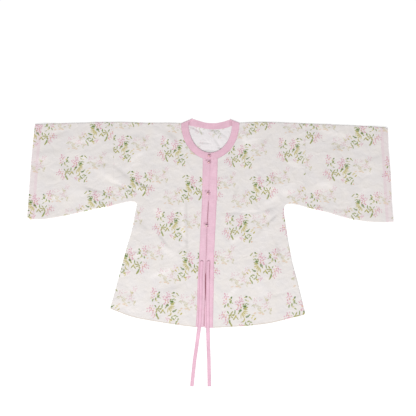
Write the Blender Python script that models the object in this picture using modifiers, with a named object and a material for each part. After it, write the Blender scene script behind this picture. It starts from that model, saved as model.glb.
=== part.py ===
"""A round-neck, front-opening hanfu top, laid flat on a surface with its front up.

Each half of the body is one cloth, folded at the shoulder and sewn at the side and under the arm. A wide
sleeve is joined to it at the upper arm. A band goes round the neck and down each front edge, and each cuff
has a facing inside.

Frame: metres, +Z up, the back lies on z = 0, +Y runs from the hem to the neck, and the wearer's right is
at -X. The tables below are in millimetres, from a point under the middle of the garment's box.
"""

import math
from typing import Callable, NamedTuple

import bmesh
import bpy
from mathutils import Vector

MM = 0.001

# Cloth, in millimetres
WALL = 1.0
COLLAR_WALL = 1.2
BAND_WALL = 1.4
SEAM_GAP = 0.3
CELL = 18.0
COLLAR_CELL = 14.4
BAND_CELL = 36.0
CUT_SNAP = 0.8
SAME_PLACE = 0.01
TURN_STEPS = 3

# Heights of the middle of each wall over the surface that the garment lies on
BACK_LEVEL = WALL / 2
FRONT_LEVEL = 2.6
CUFF_LEVEL = 4.6
FACING_BACK_LEVEL = WALL + SEAM_GAP + WALL / 2
FACING_FRONT_LEVEL = CUFF_LEVEL - WALL - SEAM_GAP
BAND_FACE = FRONT_LEVEL + BAND_WALL / 2 + SEAM_GAP
TIE_LEVEL = BAND_FACE + WALL / 2
TIE_OVER_HEM = 3.1
TIE_PAST_HEM = 1.1

# Widths across the garment
CENTRE_BACK_X = 1.5
CENTRE_BACK_TOP = 406.6
CENTRE_BACK_CLEAR = 6.0
CENTRE_BACK_RISE = 0.4
RISE_START = 6.0
RISE_LENGTH = 60.0
FACING_DEPTH = 24.0
FACING_SETBACK = 0.6
FACING_END_CLEAR = 4.0
OPENING_GAP = 1.0
TIE_WIDTH = 11.5

# Neck: an ellipse at the seam and one at the free edge of the collar
NECK_CENTRE_Y = 425.0
NECK_SEAM_WIDTH = 96.0
NECK_SEAM_DEPTH = 118.0
NECK_FREE_WIDTH = 72.0
NECK_FREE_DEPTH = 95.5
NECK_LOW_Y = NECK_CENTRE_Y - NECK_SEAM_DEPTH
NECK_STEPS = 12
BAND_JOIN = 4.0
COLLAR_RIM_X = 71.6
COLLAR_RIM_Y = 430.5

# Folds: how soon each rises at its ends, and the part of its width at which it has dropped to about a third
FOLD_TAPER = 2.2
FOLD_LEAD = 0.25
FOLD_SPREAD = 0.6

# Fasteners
BUTTON_WIDTH = 6.4
BUTTON_HEIGHT = 4.4
LOOP_THICKNESS = 1.1
LOOP_LENGTH = 12.0
LOOP_FOOT = 0.45
LOOP_OPENING = 50
LOOP_STEP = 26
LOOP_POINTS = 11

# Colour and roughness of each finish
CLOTH_FINISH = ((0.82, 0.79, 0.77), 0.85)
BAND_FINISH = ((0.80, 0.50, 0.63), 0.8)
FACING_FINISH = ((0.76, 0.46, 0.58), 0.8)
TIE_FINISH = ((0.86, 0.56, 0.70), 0.75)
PEARL_FINISH = ((0.90, 0.77, 0.75), 0.25)


class Point(NamedTuple):
    """A place on the garment as it lies."""

    x: float
    y: float


class Fold(NamedTuple):
    """A large soft fold in the front: a ridge if its height is above zero and a trough if below."""

    x_start: float
    y_start: float
    x_end: float
    y_end: float
    width: float
    height: float


class TieStation(NamedTuple):
    """The middle of a tie, its height, and how far its width is from TIE_WIDTH."""

    x: float
    y: float
    level: float
    wider: float


class Run(NamedTuple):
    """A stretch of a panel's outline; a joined one turns under and goes on in the layer below."""

    points: list[Point]
    joined: bool


class HalfCut(NamedTuple):
    """The edges of one half of the garment, as it lies."""

    name: str
    side: int
    armhole_x: float
    shoulder: tuple[Point, ...]
    sleeve_top: tuple[Point, ...]
    cuff: tuple[Point, ...]
    sleeve_under: tuple[Point, ...]
    underarm: tuple[Point, ...]
    side_seam: tuple[Point, ...]
    hem: tuple[Point, ...]
    band_seam: tuple[Point, ...]
    neck_point: Point
    neck_peak: Point
    facing_shows: float


RIGHT = HalfCut(
    name="right",
    side=-1,
    armhole_x=-319.6,
    shoulder=(Point(-150, 428.2), Point(-212, 427.6), Point(-291, 430.6), Point(-319.6, 430.3)),
    sleeve_top=(Point(-319.6, 430.3), Point(-388, 429), Point(-453, 427.4), Point(-520, 425.6),
                Point(-577.7, 423.4)),
    cuff=(Point(-577.7, 423.4), Point(-583, 369.6), Point(-587.3, 331.6), Point(-594.2, 243.2),
          Point(-600.2, 159.1), Point(-602.6, 119)),
    sleeve_under=(Point(-602.6, 119), Point(-596, 108.5), Point(-549.3, 109), Point(-505.7, 115.5),
                  Point(-431.1, 132), Point(-387.3, 142.2), Point(-352, 149), Point(-319.6, 155.4)),
    underarm=(Point(-319.6, 155.4), Point(-291, 163), Point(-262.8, 168), Point(-250, 167),
              Point(-243.6, 161)),
    side_seam=(Point(-242.1, 154.8), Point(-250.3, 114.5), Point(-257.9, 74.3), Point(-280, -1.7),
               Point(-313, -124.1), Point(-329.5, -184.5)),
    hem=(Point(-329.5, -184.5), Point(-304.1, -195), Point(-270, -208), Point(-234.1, -217.5),
         Point(-168.5, -229), Point(-102.8, -239.2), Point(-48, -245.9)),
    band_seam=(Point(-48, -245.9), Point(-43.7, -182.8), Point(-41.7, -92.4), Point(-36.5, -8.3),
               Point(-26.9, 173.3), Point(-24.5, 310.4)),
    neck_point=Point(-95.9, 426.4),
    neck_peak=Point(-58.6, 442.2),
    facing_shows=-1.0,
)

LEFT = HalfCut(
    name="left",
    side=1,
    armhole_x=314.3,
    shoulder=(Point(160, 430.8), Point(235, 429.2), Point(280, 427.4), Point(314.3, 425.8)),
    sleeve_top=(Point(314.3, 425.8), Point(384, 422.8), Point(452.2, 420.2), Point(520, 416.6),
                Point(579, 413.2), Point(584.9, 408)),
    cuff=(Point(584.9, 408), Point(587, 349.5), Point(590.2, 307.9), Point(593.8, 257), Point(598.5, 164.3),
          Point(604, 100)),
    sleeve_under=(Point(604, 100), Point(561.6, 98.3), Point(517.9, 101.3), Point(474.2, 107.9),
                  Point(430.5, 118.8), Point(386.6, 132), Point(350, 141), Point(314.3, 149.6)),
    underarm=(Point(314.3, 149.6), Point(290.2, 156.1), Point(262, 160.1), Point(250, 158), Point(244, 150)),
    side_seam=(Point(242.1, 134.3), Point(248.7, 90.4), Point(255.3, 46.5), Point(263.8, 0.7),
               Point(272.7, -40.9), Point(294.5, -124.1), Point(312, -198.7)),
    hem=(Point(312, -198.7), Point(308, -205.3), Point(264.2, -216.2), Point(202.8, -231.3),
         Point(137.1, -240.2), Point(62.5, -245.5), Point(8.7, -248.2)),
    band_seam=(Point(8.7, -248.2), Point(11.1, -140.3), Point(12.4, -58.7), Point(12.7, -8.3),
               Point(21.6, 173.3), Point(24.8, 310.4)),
    neck_point=Point(96.9, 428.0),
    neck_peak=Point(65.8, 440.2),
    facing_shows=1.2,
)

# The line where the two front bands meet, from the hem up, and the half width of the gap between them
FRONT_OPENING = (Point(-20.3, -247), Point(-18.6, -183.2), Point(-16, -140.3), Point(-15.7, -71),
                 Point(-13.4, -8.3), Point(-9.7, 94), Point(-3.8, 203), Point(0.5, 307))
GAPE = (Point(1.6, -247), Point(0.7, -200), Point(0.7, -165), Point(1.6, -120), Point(1.7, -75),
        Point(0.5, -62), Point(0.5, 307))

# The back neck, from the right to the left: the seam and the collar's free edge over it
BACK_NECK_SEAM = (Point(-70.1, 419.5), Point(-47.7, 415), Point(-19.3, 409.5), Point(2.5, 406.6),
                  Point(34.2, 407.6), Point(55, 412), Point(72, 418.4))
BACK_NECK_FREE = (Point(-38.1, 434.8), Point(-14.4, 428.2), Point(5.8, 426.7), Point(23.6, 427.4),
                  Point(45.4, 432))

FOLDS = (
    Fold(x_start=-345, y_start=255, x_end=-228, y_end=193, width=20, height=1.5),
    Fold(x_start=-352, y_start=204, x_end=-262, y_end=182, width=15, height=1.0),
    Fold(x_start=-214, y_start=215, x_end=-222, y_end=62, width=30, height=-0.5),
    Fold(x_start=-175, y_start=36, x_end=-105, y_end=-16, width=24, height=1.1),
    Fold(x_start=-440, y_start=330, x_end=-360, y_end=290, width=26, height=0.9),
    Fold(x_start=-265, y_start=-60, x_end=-215, y_end=-190, width=32, height=1.0),
    Fold(x_start=92, y_start=150, x_end=215, y_end=122, width=20, height=1.2),
    Fold(x_start=150, y_start=205, x_end=300, y_end=232, width=26, height=1.2),
    Fold(x_start=330, y_start=205, x_end=440, y_end=262, width=28, height=1.0),
    Fold(x_start=120, y_start=-40, x_end=196, y_end=-150, width=32, height=0.9),
    Fold(x_start=196, y_start=60, x_end=214, y_end=-60, width=28, height=-0.5),
    Fold(x_start=105, y_start=395, x_end=150, y_end=330, width=24, height=0.8),
)

RIGHT_TIE = (
    TieStation(-27.9, -26.1, TIE_LEVEL, 1.0), TieStation(-28.5, -36, TIE_LEVEL, 0.0),
    TieStation(-31, -80, TIE_LEVEL, 0.0), TieStation(-31.6, -130, TIE_LEVEL, 0.0),
    TieStation(-32.4, -180, TIE_LEVEL, 0.0), TieStation(-34.2, -222.8, TIE_LEVEL, 0.0),
    TieStation(-36.5, -249.2, TIE_LEVEL, 0.0), TieStation(-39, -266, TIE_OVER_HEM, 0.0),
    TieStation(-42, -288, TIE_PAST_HEM, 0.0), TieStation(-44.6, -308, BACK_LEVEL, 0.0),
    TieStation(-51.6, -354.8, BACK_LEVEL, 0.0), TieStation(-56.4, -400, BACK_LEVEL, 0.0),
    TieStation(-60.6, -441.4, BACK_LEVEL, 0.8),
)
LEFT_TIE = (
    TieStation(-5.2, -26.1, TIE_LEVEL, 1.0), TieStation(-5.8, -36, TIE_LEVEL, 0.0),
    TieStation(-7.2, -80, TIE_LEVEL, 0.0), TieStation(-8.0, -130, TIE_LEVEL, 0.0),
    TieStation(-8.2, -180, TIE_LEVEL, 0.0), TieStation(-8.0, -222.8, TIE_LEVEL, 0.0),
    TieStation(-7.8, -249.2, TIE_LEVEL, 0.0), TieStation(-7.4, -266, TIE_OVER_HEM, 0.0),
    TieStation(-6.8, -288, TIE_PAST_HEM, 0.0), TieStation(-6.4, -308, BACK_LEVEL, 0.0),
    TieStation(-4.5, -354.8, BACK_LEVEL, 0.0), TieStation(-3.6, -400, BACK_LEVEL, 0.0),
    TieStation(-2.8, -441.8, BACK_LEVEL, 0.8),
)

# Buttons, each on the right front edge, from the neck down
BUTTON_PLACES = (Point(-4.6, 319.2), Point(-4.9, 297.4), Point(-7.8, 195), Point(-13.2, 88.4))


def across(line: tuple[Point, ...], y: float) -> float:
    """The x of a line that runs up the garment, at a height y."""
    rows = sorted(line, key=lambda p: p.y)
    for low, high in zip(rows, rows[1:]):
        if y <= high.y:
            share = max(0.0, (y - low.y) / (high.y - low.y))
            return low.x + share * (high.x - low.x)
    return rows[-1].x


def smooth(share: float) -> float:
    """A soft step from 0 to 1."""
    share = min(1.0, max(0.0, share))
    return share * share * (3.0 - 2.0 * share)


def fold_relief(x: float, y: float) -> float:
    """How far the large folds lift or lower the front at a place."""
    total = 0.0
    for fold in FOLDS:
        run = Vector((fold.x_end - fold.x_start, fold.y_end - fold.y_start))
        place = Vector((x - fold.x_start, y - fold.y_start))
        along = place.dot(run) / run.length_squared
        off = abs(place.cross(run)) / run.length
        ends = smooth(FOLD_TAPER * along + FOLD_LEAD) * smooth(FOLD_TAPER * (1.0 - along) + FOLD_LEAD)
        total += fold.height * ends * math.exp(-((off / (FOLD_SPREAD * fold.width)) ** 2))
    return total


def front_level(cut: HalfCut, x: float, y: float) -> float:
    """The height of the front wall's middle, which rises over the facings at the cuff."""
    edge = across(cut.cuff, y)
    inward = cut.side * (edge - x) - FACING_DEPTH
    rise = (CUFF_LEVEL - FRONT_LEVEL) * smooth(1.0 - (inward - RISE_START) / RISE_LENGTH)
    return FRONT_LEVEL + rise + fold_relief(x, y) * smooth((inward - RISE_START) / RISE_LENGTH)


def turn_inset(cut: HalfCut, point: Point) -> float:
    """How far inside the outline a turn starts, so that its outer face is on the outline."""
    return WALL / 2 + (front_level(cut, *point) - BACK_LEVEL) / 2


def moved_in(points: list[Point], inset: Callable[[Point], float], left: bool) -> list[Point]:
    """A line moved to its left or right by an amount that its points may vary."""
    result = []
    for i, point in enumerate(points):
        before, after = points[max(i - 1, 0)], points[min(i + 1, len(points) - 1)]
        normals = []
        for a, b in ((before, point), (point, after)):
            if a != b:
                normals.append(Vector((a.y - b.y, b.x - a.x)).normalized())
        middle = (normals[0] + normals[-1]).normalized()
        shift = middle * inset(point) / max(0.5, middle.dot(normals[0])) * (1 if left else -1)
        result.append(Point(point.x + shift.x, point.y + shift.y))
    return result


def neck_arc(cut: HalfCut, half_width: float, depth: float, end: Point) -> list[Point]:
    """One side of the neck's ellipse, from the front opening up to where it meets the shoulder."""
    arc = []
    for step in range(NECK_STEPS):
        angle = 0.5 * math.pi * step / NECK_STEPS
        x = cut.side * half_width * math.sin(angle)
        arc.append(Point(x, NECK_CENTRE_Y - depth * math.cos(angle)))
    return arc + [end]


def layer(bm: bmesh.types.BMesh, runs: list[Run]) -> None:
    """A flat panel from its outline's stretches. The joined ones are marked as seams."""
    verts = []
    joined = []
    for run in runs:
        for point in run.points:
            if not verts or (verts[-1].co.xy - Vector(point) * MM).length > SAME_PLACE * MM:
                verts.append(bm.verts.new((point.x * MM, point.y * MM, 0.0)))
                joined.append(run.joined)
            else:
                joined[-1] = run.joined
    bm.faces.new(verts)
    for i, vert in enumerate(verts):
        edge = bm.edges.get((vert, verts[(i + 1) % len(verts)]))
        edge.seam = joined[i]


def cut_into_cells(bm: bmesh.types.BMesh, cell: float) -> None:
    """Even cuts across the panel both ways, so that its folds have points to stand on."""
    for axis in (Vector((1, 0, 0)), Vector((0, 1, 0))):
        places = [vert.co.dot(axis) / MM for vert in bm.verts]
        first, last = math.ceil(min(places) / cell), math.floor(max(places) / cell)
        for number in range(first, last + 1):
            everything = bm.verts[:] + bm.edges[:] + bm.faces[:]
            place = axis * number * cell * MM
            bmesh.ops.bisect_plane(bm, geom=everything, dist=CUT_SNAP * MM, plane_co=place, plane_no=axis)


def chain_from(bm: bmesh.types.BMesh, start: Point) -> list[bmesh.types.BMVert]:
    """The points along a joined stretch, in order, from its end nearest a place."""
    links = {}
    for edge in bm.edges:
        if edge.seam:
            for vert in edge.verts:
                links.setdefault(vert, []).append(edge.other_vert(vert))
    place = Vector(start) * MM
    ends = [vert for vert in links if len(links[vert]) == 1]
    chain = [min(ends, key=lambda vert: (vert.co.xy - place).length)]
    while ahead := [vert for vert in links[chain[-1]] if vert not in chain[-2:]]:
        chain.append(ahead[0])
    return chain


def turn_under(bm: bmesh.types.BMesh, chain: list, low: float) -> list[bmesh.types.BMVert]:
    """A half-round turn from a joined stretch to the layer below; returns that layer's edge points."""
    flat = [Vector((vert.co.x, vert.co.y)) for vert in chain]
    centre = chain[0].link_faces[0].calc_center_median().xy
    outward = []
    for i in range(len(flat)):
        run = flat[min(i + 1, len(flat) - 1)] - flat[max(i - 1, 0)]
        outward.append(Vector((run.y, -run.x)).normalized())
    if outward[0].dot(centre - flat[0]) > 0:
        outward = [-way for way in outward]
    above = chain
    for step in range(1, TURN_STEPS + 1):
        angle = math.pi * step / TURN_STEPS
        below = []
        for vert, point, way in zip(chain, flat, outward):
            radius = (vert.co.z - low * MM) / 2
            place = point + way * radius * math.sin(angle)
            below.append(bm.verts.new((place.x, place.y, vert.co.z - radius * (1 - math.cos(angle)))))
        for i in range(len(chain) - 1):
            bm.faces.new((above[i], above[i + 1], below[i + 1], below[i]))
        above = below
    return above


def open_edge(bm: bmesh.types.BMesh, points: list[Point], level: float) -> list[bmesh.types.BMVert]:
    """Points along an open edge of a lower layer."""
    return [bm.verts.new((point.x * MM, point.y * MM, level * MM)) for point in points]


def material(name: str, colour: tuple[float, float, float], roughness: float) -> bpy.types.Material:
    """A Principled material of one colour."""
    result = bpy.data.materials.new(name)
    result.use_nodes = True
    shader = result.node_tree.nodes["Principled BSDF"]
    shader.inputs["Base Color"].default_value = (*colour, 1.0)
    shader.inputs["Roughness"].default_value = roughness
    shader.inputs["Metallic"].default_value = 0.0
    return result


def add_object(name: str, bm: bmesh.types.BMesh, finish: tuple, wall: float | None) -> bpy.types.Object:
    """A named object from a bmesh, given the thickness of its wall if it is a sheet."""
    bmesh.ops.recalc_face_normals(bm, faces=bm.faces)
    mesh = bpy.data.meshes.new(name)
    bm.to_mesh(mesh)
    bm.free()
    mesh.materials.append(material(f"{name}_cloth", *finish))
    result = bpy.data.objects.new(name, mesh)
    bpy.data.collections["hanfu"].objects.link(result)
    if wall:
        thickness = result.modifiers.new("wall", "SOLIDIFY")
        thickness.thickness = wall * MM
        thickness.offset = 0.0
        thickness.use_even_offset = True
    return result


def add_body_half(cut: HalfCut) -> None:
    """Front and back of one half in one cloth, folded at the shoulder, joined at the side and underarm."""
    armhole_x = cut.armhole_x - cut.side * SEAM_GAP / 2
    inward = cut.side < 0
    top = [cut.neck_point._replace(x=cut.neck_point.x + cut.side * SEAM_GAP), *cut.shoulder]
    top = moved_in(top, lambda point: turn_inset(cut, point), inward)
    top[-1] = top[-1]._replace(x=armhole_x)
    lower = moved_in([*cut.underarm, *cut.side_seam], lambda point: turn_inset(cut, point), inward)
    lower[0] = lower[0]._replace(x=armhole_x)
    band = [Point(p.x + cut.side * SEAM_GAP, p.y) for p in cut.band_seam]
    neck = neck_arc(cut, NECK_SEAM_WIDTH + SEAM_GAP, NECK_SEAM_DEPTH + SEAM_GAP, top[0])
    neck = [p for p in neck if abs(p.x) > abs(band[-1].x) + BAND_JOIN]
    hem = list(cut.hem[1:-1])
    bm = bmesh.new()
    layer(bm, [Run(top[:-1], True), Run(top[-1:], False), Run(lower[:-1], True),
               Run([lower[-1], *hem, *band, *neck[:-1]], False)])
    cut_into_cells(bm, CELL)
    for vert in bm.verts:
        vert.co.z = front_level(cut, vert.co.x / MM, vert.co.y / MM) * MM
    chains = [chain_from(bm, top[0]), chain_from(bm, lower[0])]
    back_top, back_lower = [turn_under(bm, chain, BACK_LEVEL) for chain in chains]
    centre_x = CENTRE_BACK_X + cut.side * SEAM_GAP / 2
    half_seam = [p for p in BACK_NECK_SEAM if cut.side * (p.x - centre_x) > CENTRE_BACK_CLEAR]
    seam = [Point(p.x, p.y - SEAM_GAP) for p in sorted(half_seam, key=lambda p: abs(p.x))]
    centre = [Point(centre_x, cut.hem[-1].y - CENTRE_BACK_RISE), Point(centre_x, CENTRE_BACK_TOP - SEAM_GAP)]
    edges = open_edge(bm, [*hem, cut.hem[-1], *centre, *seam], BACK_LEVEL)
    bm.faces.new([*back_top, *back_lower, *edges])
    add_object(f"body_{cut.name}", bm, CLOTH_FINISH, WALL)


def add_tube(name: str, runs: list[Run], level: Callable[[float, float], float], low: float,
             finish: tuple) -> None:
    """A flattened tube, closed along its two joined stretches and open at both ends."""
    bm = bmesh.new()
    layer(bm, runs)
    cut_into_cells(bm, CELL)
    for vert in bm.verts:
        vert.co.z = level(vert.co.x / MM, vert.co.y / MM) * MM
    chains = [chain_from(bm, run.points[0]) for run in runs if run.joined]
    first, second = [turn_under(bm, chain, low) for chain in chains]
    far, near = [open_edge(bm, run.points[1:], low) for run in runs if not run.joined]
    bm.faces.new([*first, *far, *second, *near])
    add_object(name, bm, finish, WALL)


def add_sleeve(cut: HalfCut) -> None:
    """A wide straight sleeve, folded along its top and sewn along its lower edge."""
    armhole_x = cut.armhole_x + cut.side * SEAM_GAP / 2
    inward = cut.side < 0
    top = moved_in(list(cut.sleeve_top), lambda point: turn_inset(cut, point), inward)
    under = moved_in(list(cut.sleeve_under), lambda point: turn_inset(cut, point), inward)
    top[0], under[-1] = top[0]._replace(x=armhole_x), under[-1]._replace(x=armhole_x)
    top[-1] = Point(across(cut.cuff, top[-1].y), top[-1].y)
    under[0] = Point(across(cut.cuff, under[0].y), under[0].y)
    runs = [Run(top[:-1], True), Run([top[-1], *cut.cuff[1:-1]], False), Run(under[:-1], True),
            Run([under[-1]], False)]
    add_tube(f"sleeve_{cut.name}", runs, lambda x, y: front_level(cut, x, y), BACK_LEVEL, CLOTH_FINISH)


def add_facing(cut: HalfCut) -> None:
    """The band sewn inside the cuff, all round."""
    inset = WALL / 2 + (CUFF_LEVEL - BACK_LEVEL) / 2
    rows = sorted(cut.cuff, key=lambda p: -p.y)
    high, low = rows[0].y - inset - FACING_END_CLEAR, rows[-1].y + inset + FACING_END_CLEAR
    outer = [Point(across(cut.cuff, y), y) for y in (high, *[p.y for p in rows[1:-1]], low)]
    edge = []
    for point in outer:
        shows = cut.facing_shows * math.sin(math.pi * (high - point.y) / (high - low)) ** 2
        edge.append(Point(point.x + cut.side * (shows - FACING_SETBACK), point.y))
    inner = [Point(p.x - cut.side * FACING_DEPTH, p.y) for p in reversed(edge)]
    runs = [Run([inner[-1]], True), Run(edge[:-1], False), Run([edge[-1]], True), Run(inner[:-1], False)]
    add_tube(f"cuff_facing_{cut.name}", runs, lambda x, y: FACING_FRONT_LEVEL, FACING_BACK_LEVEL,
             FACING_FINISH)


def add_collar() -> None:
    """The neck band, which folds over at both shoulders and shows its inner face across the back."""
    bm = bmesh.new()
    level = COLLAR_WALL / 2
    for cut in (RIGHT, LEFT):
        start = across(FRONT_OPENING, NECK_LOW_Y) + cut.side * OPENING_GAP / 2
        inset = COLLAR_WALL / 2 + (FRONT_LEVEL - level) / 2
        fold = moved_in([cut.neck_point, cut.neck_peak], lambda point: inset, cut.side > 0)
        seam = neck_arc(cut, NECK_SEAM_WIDTH, NECK_SEAM_DEPTH, fold[0])
        free = neck_arc(cut, NECK_FREE_WIDTH, NECK_FREE_DEPTH, fold[1])
        seam[0], free[0] = Point(start, seam[0].y), Point(start, free[0].y)
        rim = [Point(cut.side * COLLAR_RIM_X, COLLAR_RIM_Y)]
        layer(bm, [Run(seam[:-1], False), Run(fold[:1], True), Run(fold[1:], False), Run(rim, False),
                   Run(free[-2::-1], False)])
    cut_into_cells(bm, COLLAR_CELL)
    for vert in bm.verts:
        vert.co.z = FRONT_LEVEL * MM
    right, left = [turn_under(bm, chain_from(bm, cut.neck_point), level) for cut in (RIGHT, LEFT)]
    over = open_edge(bm, list(BACK_NECK_FREE), level)
    under = open_edge(bm, list(reversed(BACK_NECK_SEAM)), level)
    bm.faces.new([*right, *over, *reversed(left), *under])
    add_object("collar", bm, BAND_FINISH, COLLAR_WALL)


def add_front_band(cut: HalfCut) -> None:
    """The band down one front edge, from the collar to the hem."""
    seam = list(cut.band_seam)
    rows = [seam[0].y, *[p.y for p in FRONT_OPENING[1:-1]], *[p.y for p in GAPE[1:-1]], NECK_LOW_Y - SEAM_GAP]
    edge = []
    for y in sorted(rows, reverse=True):
        edge.append(Point(across(FRONT_OPENING, y) + cut.side * across(GAPE, y), y))
    tops = []
    for x in (seam[-1].x, (seam[-1].x + edge[0].x) / 2):
        rise = NECK_SEAM_DEPTH * math.sqrt(1 - (x / NECK_SEAM_WIDTH) ** 2)
        tops.append(Point(x, NECK_CENTRE_Y - SEAM_GAP - rise))
    bm = bmesh.new()
    layer(bm, [Run([*seam[:-1], *tops], False), Run(edge, False)])
    cut_into_cells(bm, BAND_CELL)
    for vert in bm.verts:
        vert.co.z = FRONT_LEVEL * MM
    add_object(f"front_band_{cut.name}", bm, BAND_FINISH, BAND_WALL)


def add_tie(name: str, stations: tuple[TieStation, ...]) -> None:
    """A flat tie: sewn on the band at its top, it runs over the hem and lies on the surface to its end."""
    bm = bmesh.new()
    rows = len(stations)
    grid = bmesh.ops.create_grid(bm, x_segments=1, y_segments=rows - 1, size=1.0)
    for vert in grid["verts"]:
        row = round((vert.co.y + 1.0) / 2.0 * (rows - 1))
        station = stations[row]
        before, after = stations[max(row - 1, 0)], stations[min(row + 1, rows - 1)]
        run = Vector((after.x - before.x, after.y - before.y)).normalized()
        half = math.copysign((TIE_WIDTH + station.wider) / 2, vert.co.x)
        vert.co = Vector((station.x - run.y * half, station.y + run.x * half, station.level)) * MM
    add_object(name, bm, TIE_FINISH, WALL)


def add_button(number: int, place: Point) -> None:
    """A small pearl-like button, a little flatter than a ball."""
    bm = bmesh.new()
    bmesh.ops.create_uvsphere(bm, u_segments=12, v_segments=8, radius=BUTTON_WIDTH / 2 * MM)
    bmesh.ops.scale(bm, vec=(1, 1, BUTTON_HEIGHT / BUTTON_WIDTH), verts=bm.verts)
    button = add_object(f"button_{number}", bm, PEARL_FINISH, None)
    button.location = Vector((place.x, place.y, BAND_FACE + BUTTON_HEIGHT / 2)) * MM


def add_loop(number: int, place: Point) -> None:
    """The loop that comes from the left front edge and goes round its button."""
    curve = bpy.data.curves.new(f"loop_{number}", "CURVE")
    curve.dimensions = "3D"
    curve.bevel_depth = LOOP_THICKNESS / 2 * MM
    curve.bevel_resolution = 1
    curve.use_fill_caps = True
    level = BAND_FACE + LOOP_THICKNESS / 2
    bend = BUTTON_WIDTH / 2 + SEAM_GAP + LOOP_THICKNESS / 2
    foot_x = place.x + LOOP_LENGTH - bend
    points = [Point(foot_x, place.y + LOOP_FOOT * bend)]
    for step in range(LOOP_POINTS):
        angle = math.radians(LOOP_OPENING + LOOP_STEP * step)
        points.append(Point(place.x + bend * math.cos(angle), place.y + bend * math.sin(angle)))
    points.append(Point(foot_x, place.y - LOOP_FOOT * bend))
    spline = curve.splines.new("POLY")
    spline.points.add(len(points) - 1)
    for target, point in zip(spline.points, points):
        target.co = (point.x * MM, point.y * MM, level * MM, 1.0)
    curve.materials.append(material(f"loop_{number}_thread", *TIE_FINISH))
    bpy.data.collections["hanfu"].objects.link(bpy.data.objects.new(f"loop_{number}", curve))


def main() -> None:
    """Clears the scene and makes the garment."""
    for obj in list(bpy.data.objects):
        bpy.data.objects.remove(obj, do_unlink=True)
    bpy.context.scene.collection.children.link(bpy.data.collections.new("hanfu"))
    for cut in (RIGHT, LEFT):
        add_body_half(cut)
        add_sleeve(cut)
        add_facing(cut)
        add_front_band(cut)
    add_collar()
    add_tie("tie_right", RIGHT_TIE)
    add_tie("tie_left", LEFT_TIE)
    for number, place in enumerate(BUTTON_PLACES, start=1):
        add_button(number, place)
        add_loop(number, place)


main()
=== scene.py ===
"""The looks of a round-neck hanfu top that lies flat: thin printed cloth, pink bands and ties, pearl buttons.

Sizes are in millimetres in the part's own frame: +X is the wearer's left, +Y runs from the hem to the neck,
and the back lies on z = 0. Each cloth piece is a thin shell whose outer faces are where its solid's are.
"""

from __future__ import annotations

import logging
import math
from dataclasses import dataclass, field
from enum import Enum
from typing import Callable, NamedTuple

import bmesh
import bpy
import numpy as np
from mathutils import Matrix, Vector, noise

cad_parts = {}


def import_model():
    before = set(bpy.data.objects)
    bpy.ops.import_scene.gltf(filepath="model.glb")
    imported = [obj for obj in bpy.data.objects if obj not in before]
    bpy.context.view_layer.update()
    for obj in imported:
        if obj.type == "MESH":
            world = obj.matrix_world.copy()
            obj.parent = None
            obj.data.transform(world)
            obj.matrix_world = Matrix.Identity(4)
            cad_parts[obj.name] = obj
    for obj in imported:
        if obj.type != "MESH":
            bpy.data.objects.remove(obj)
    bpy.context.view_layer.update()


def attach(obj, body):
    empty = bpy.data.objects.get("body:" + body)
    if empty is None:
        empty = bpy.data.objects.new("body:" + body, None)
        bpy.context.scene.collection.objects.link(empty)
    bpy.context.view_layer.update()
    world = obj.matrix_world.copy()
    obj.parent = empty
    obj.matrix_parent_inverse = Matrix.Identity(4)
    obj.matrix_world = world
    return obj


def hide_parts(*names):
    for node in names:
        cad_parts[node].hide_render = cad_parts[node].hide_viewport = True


log = logging.getLogger("hanfu")

MM = 0.001
BODY = "root"

SEAM_GAP = 0.3
STITCHED_GAP = 0.08
CELL = 3.4
BACK_CELL = 6.0
TURN_STEPS = 4
EDGE_ROLL_WIDTH = 1.5
EDGE_ROLL_DEPTH = 0.35
CREASE_FADE = 1 / 2.2
FACING_DEPTH = 24.0
HEM_DEPTH = 7.0
TOPSTITCH = 1.9
CENTRE_BACK_X = 1.5
CENTRE_BACK_Y = 406.6
COLLAR_FRONT_Y = 307.0
NECK_CENTRE_Y = 425.0

# What a node's input takes, and what gives a value at each of some places
Source = bpy.types.Node | bpy.types.NodeSocket
Heights = Callable[[np.ndarray], np.ndarray]


class Point(NamedTuple):
    """A place on the garment as it lies."""

    x: float
    y: float

    def moved(self, x: float = 0.0, y: float = 0.0) -> Point:
        """The place at a step from this one."""
        return Point(self.x + x, self.y + y)


class NeckOval(NamedTuple):
    """An ellipse round the neck: its half width, and how far its lowest point is under its middle."""

    half_width: float
    depth: float

    def grown(self, step: float) -> NeckOval:
        """The ellipse moved outwards all round."""
        return NeckOval(self.half_width + step, self.depth + step)

    def share(self, places: np.ndarray) -> np.ndarray:
        """How far out each place is, with 1 on the ellipse."""
        return np.hypot(places[:, 0] / self.half_width, (places[:, 1] - NECK_CENTRE_Y) / self.depth)

    def low_at(self, x: float) -> float:
        """The y of its lower side."""
        return NECK_CENTRE_Y - self.depth * math.sqrt(1 - (x / self.half_width) ** 2)

    def arc(self, sign: int, end: Point, steps: int = 22) -> list[Point]:
        """One side of it, from the front opening up to where it meets the shoulder.

        Args:
            sign: the side's sign along X.
            end: the last point, at the shoulder.
            steps: how many points it has before the last.

        Returns:
            The arc's points.
        """
        turns = [0.5 * math.pi * step / steps for step in range(steps)]
        return [*(Point(sign * self.half_width * math.sin(turn), NECK_CENTRE_Y - self.depth * math.cos(turn))
                  for turn in turns), end]


NECK_SEAM = NeckOval(96.0, 118.0)
NECK_FREE = NeckOval(72.0, 95.5)


class Run(NamedTuple):
    """A stretch of a panel's outline; a joined one turns under and goes on in the layer below."""

    points: list[Point]
    joined: bool = False


class Crease(NamedTuple):
    """A soft ridge, or a trough if its height is below zero."""

    x_start: float
    y_start: float
    x_end: float
    y_end: float
    width: float
    height: float
    bow: float = 0.0


def path(*pairs: tuple[float, float]) -> tuple[Point, ...]:
    """A line's points from pairs of x and y."""
    return tuple(Point(*pair) for pair in pairs)


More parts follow.
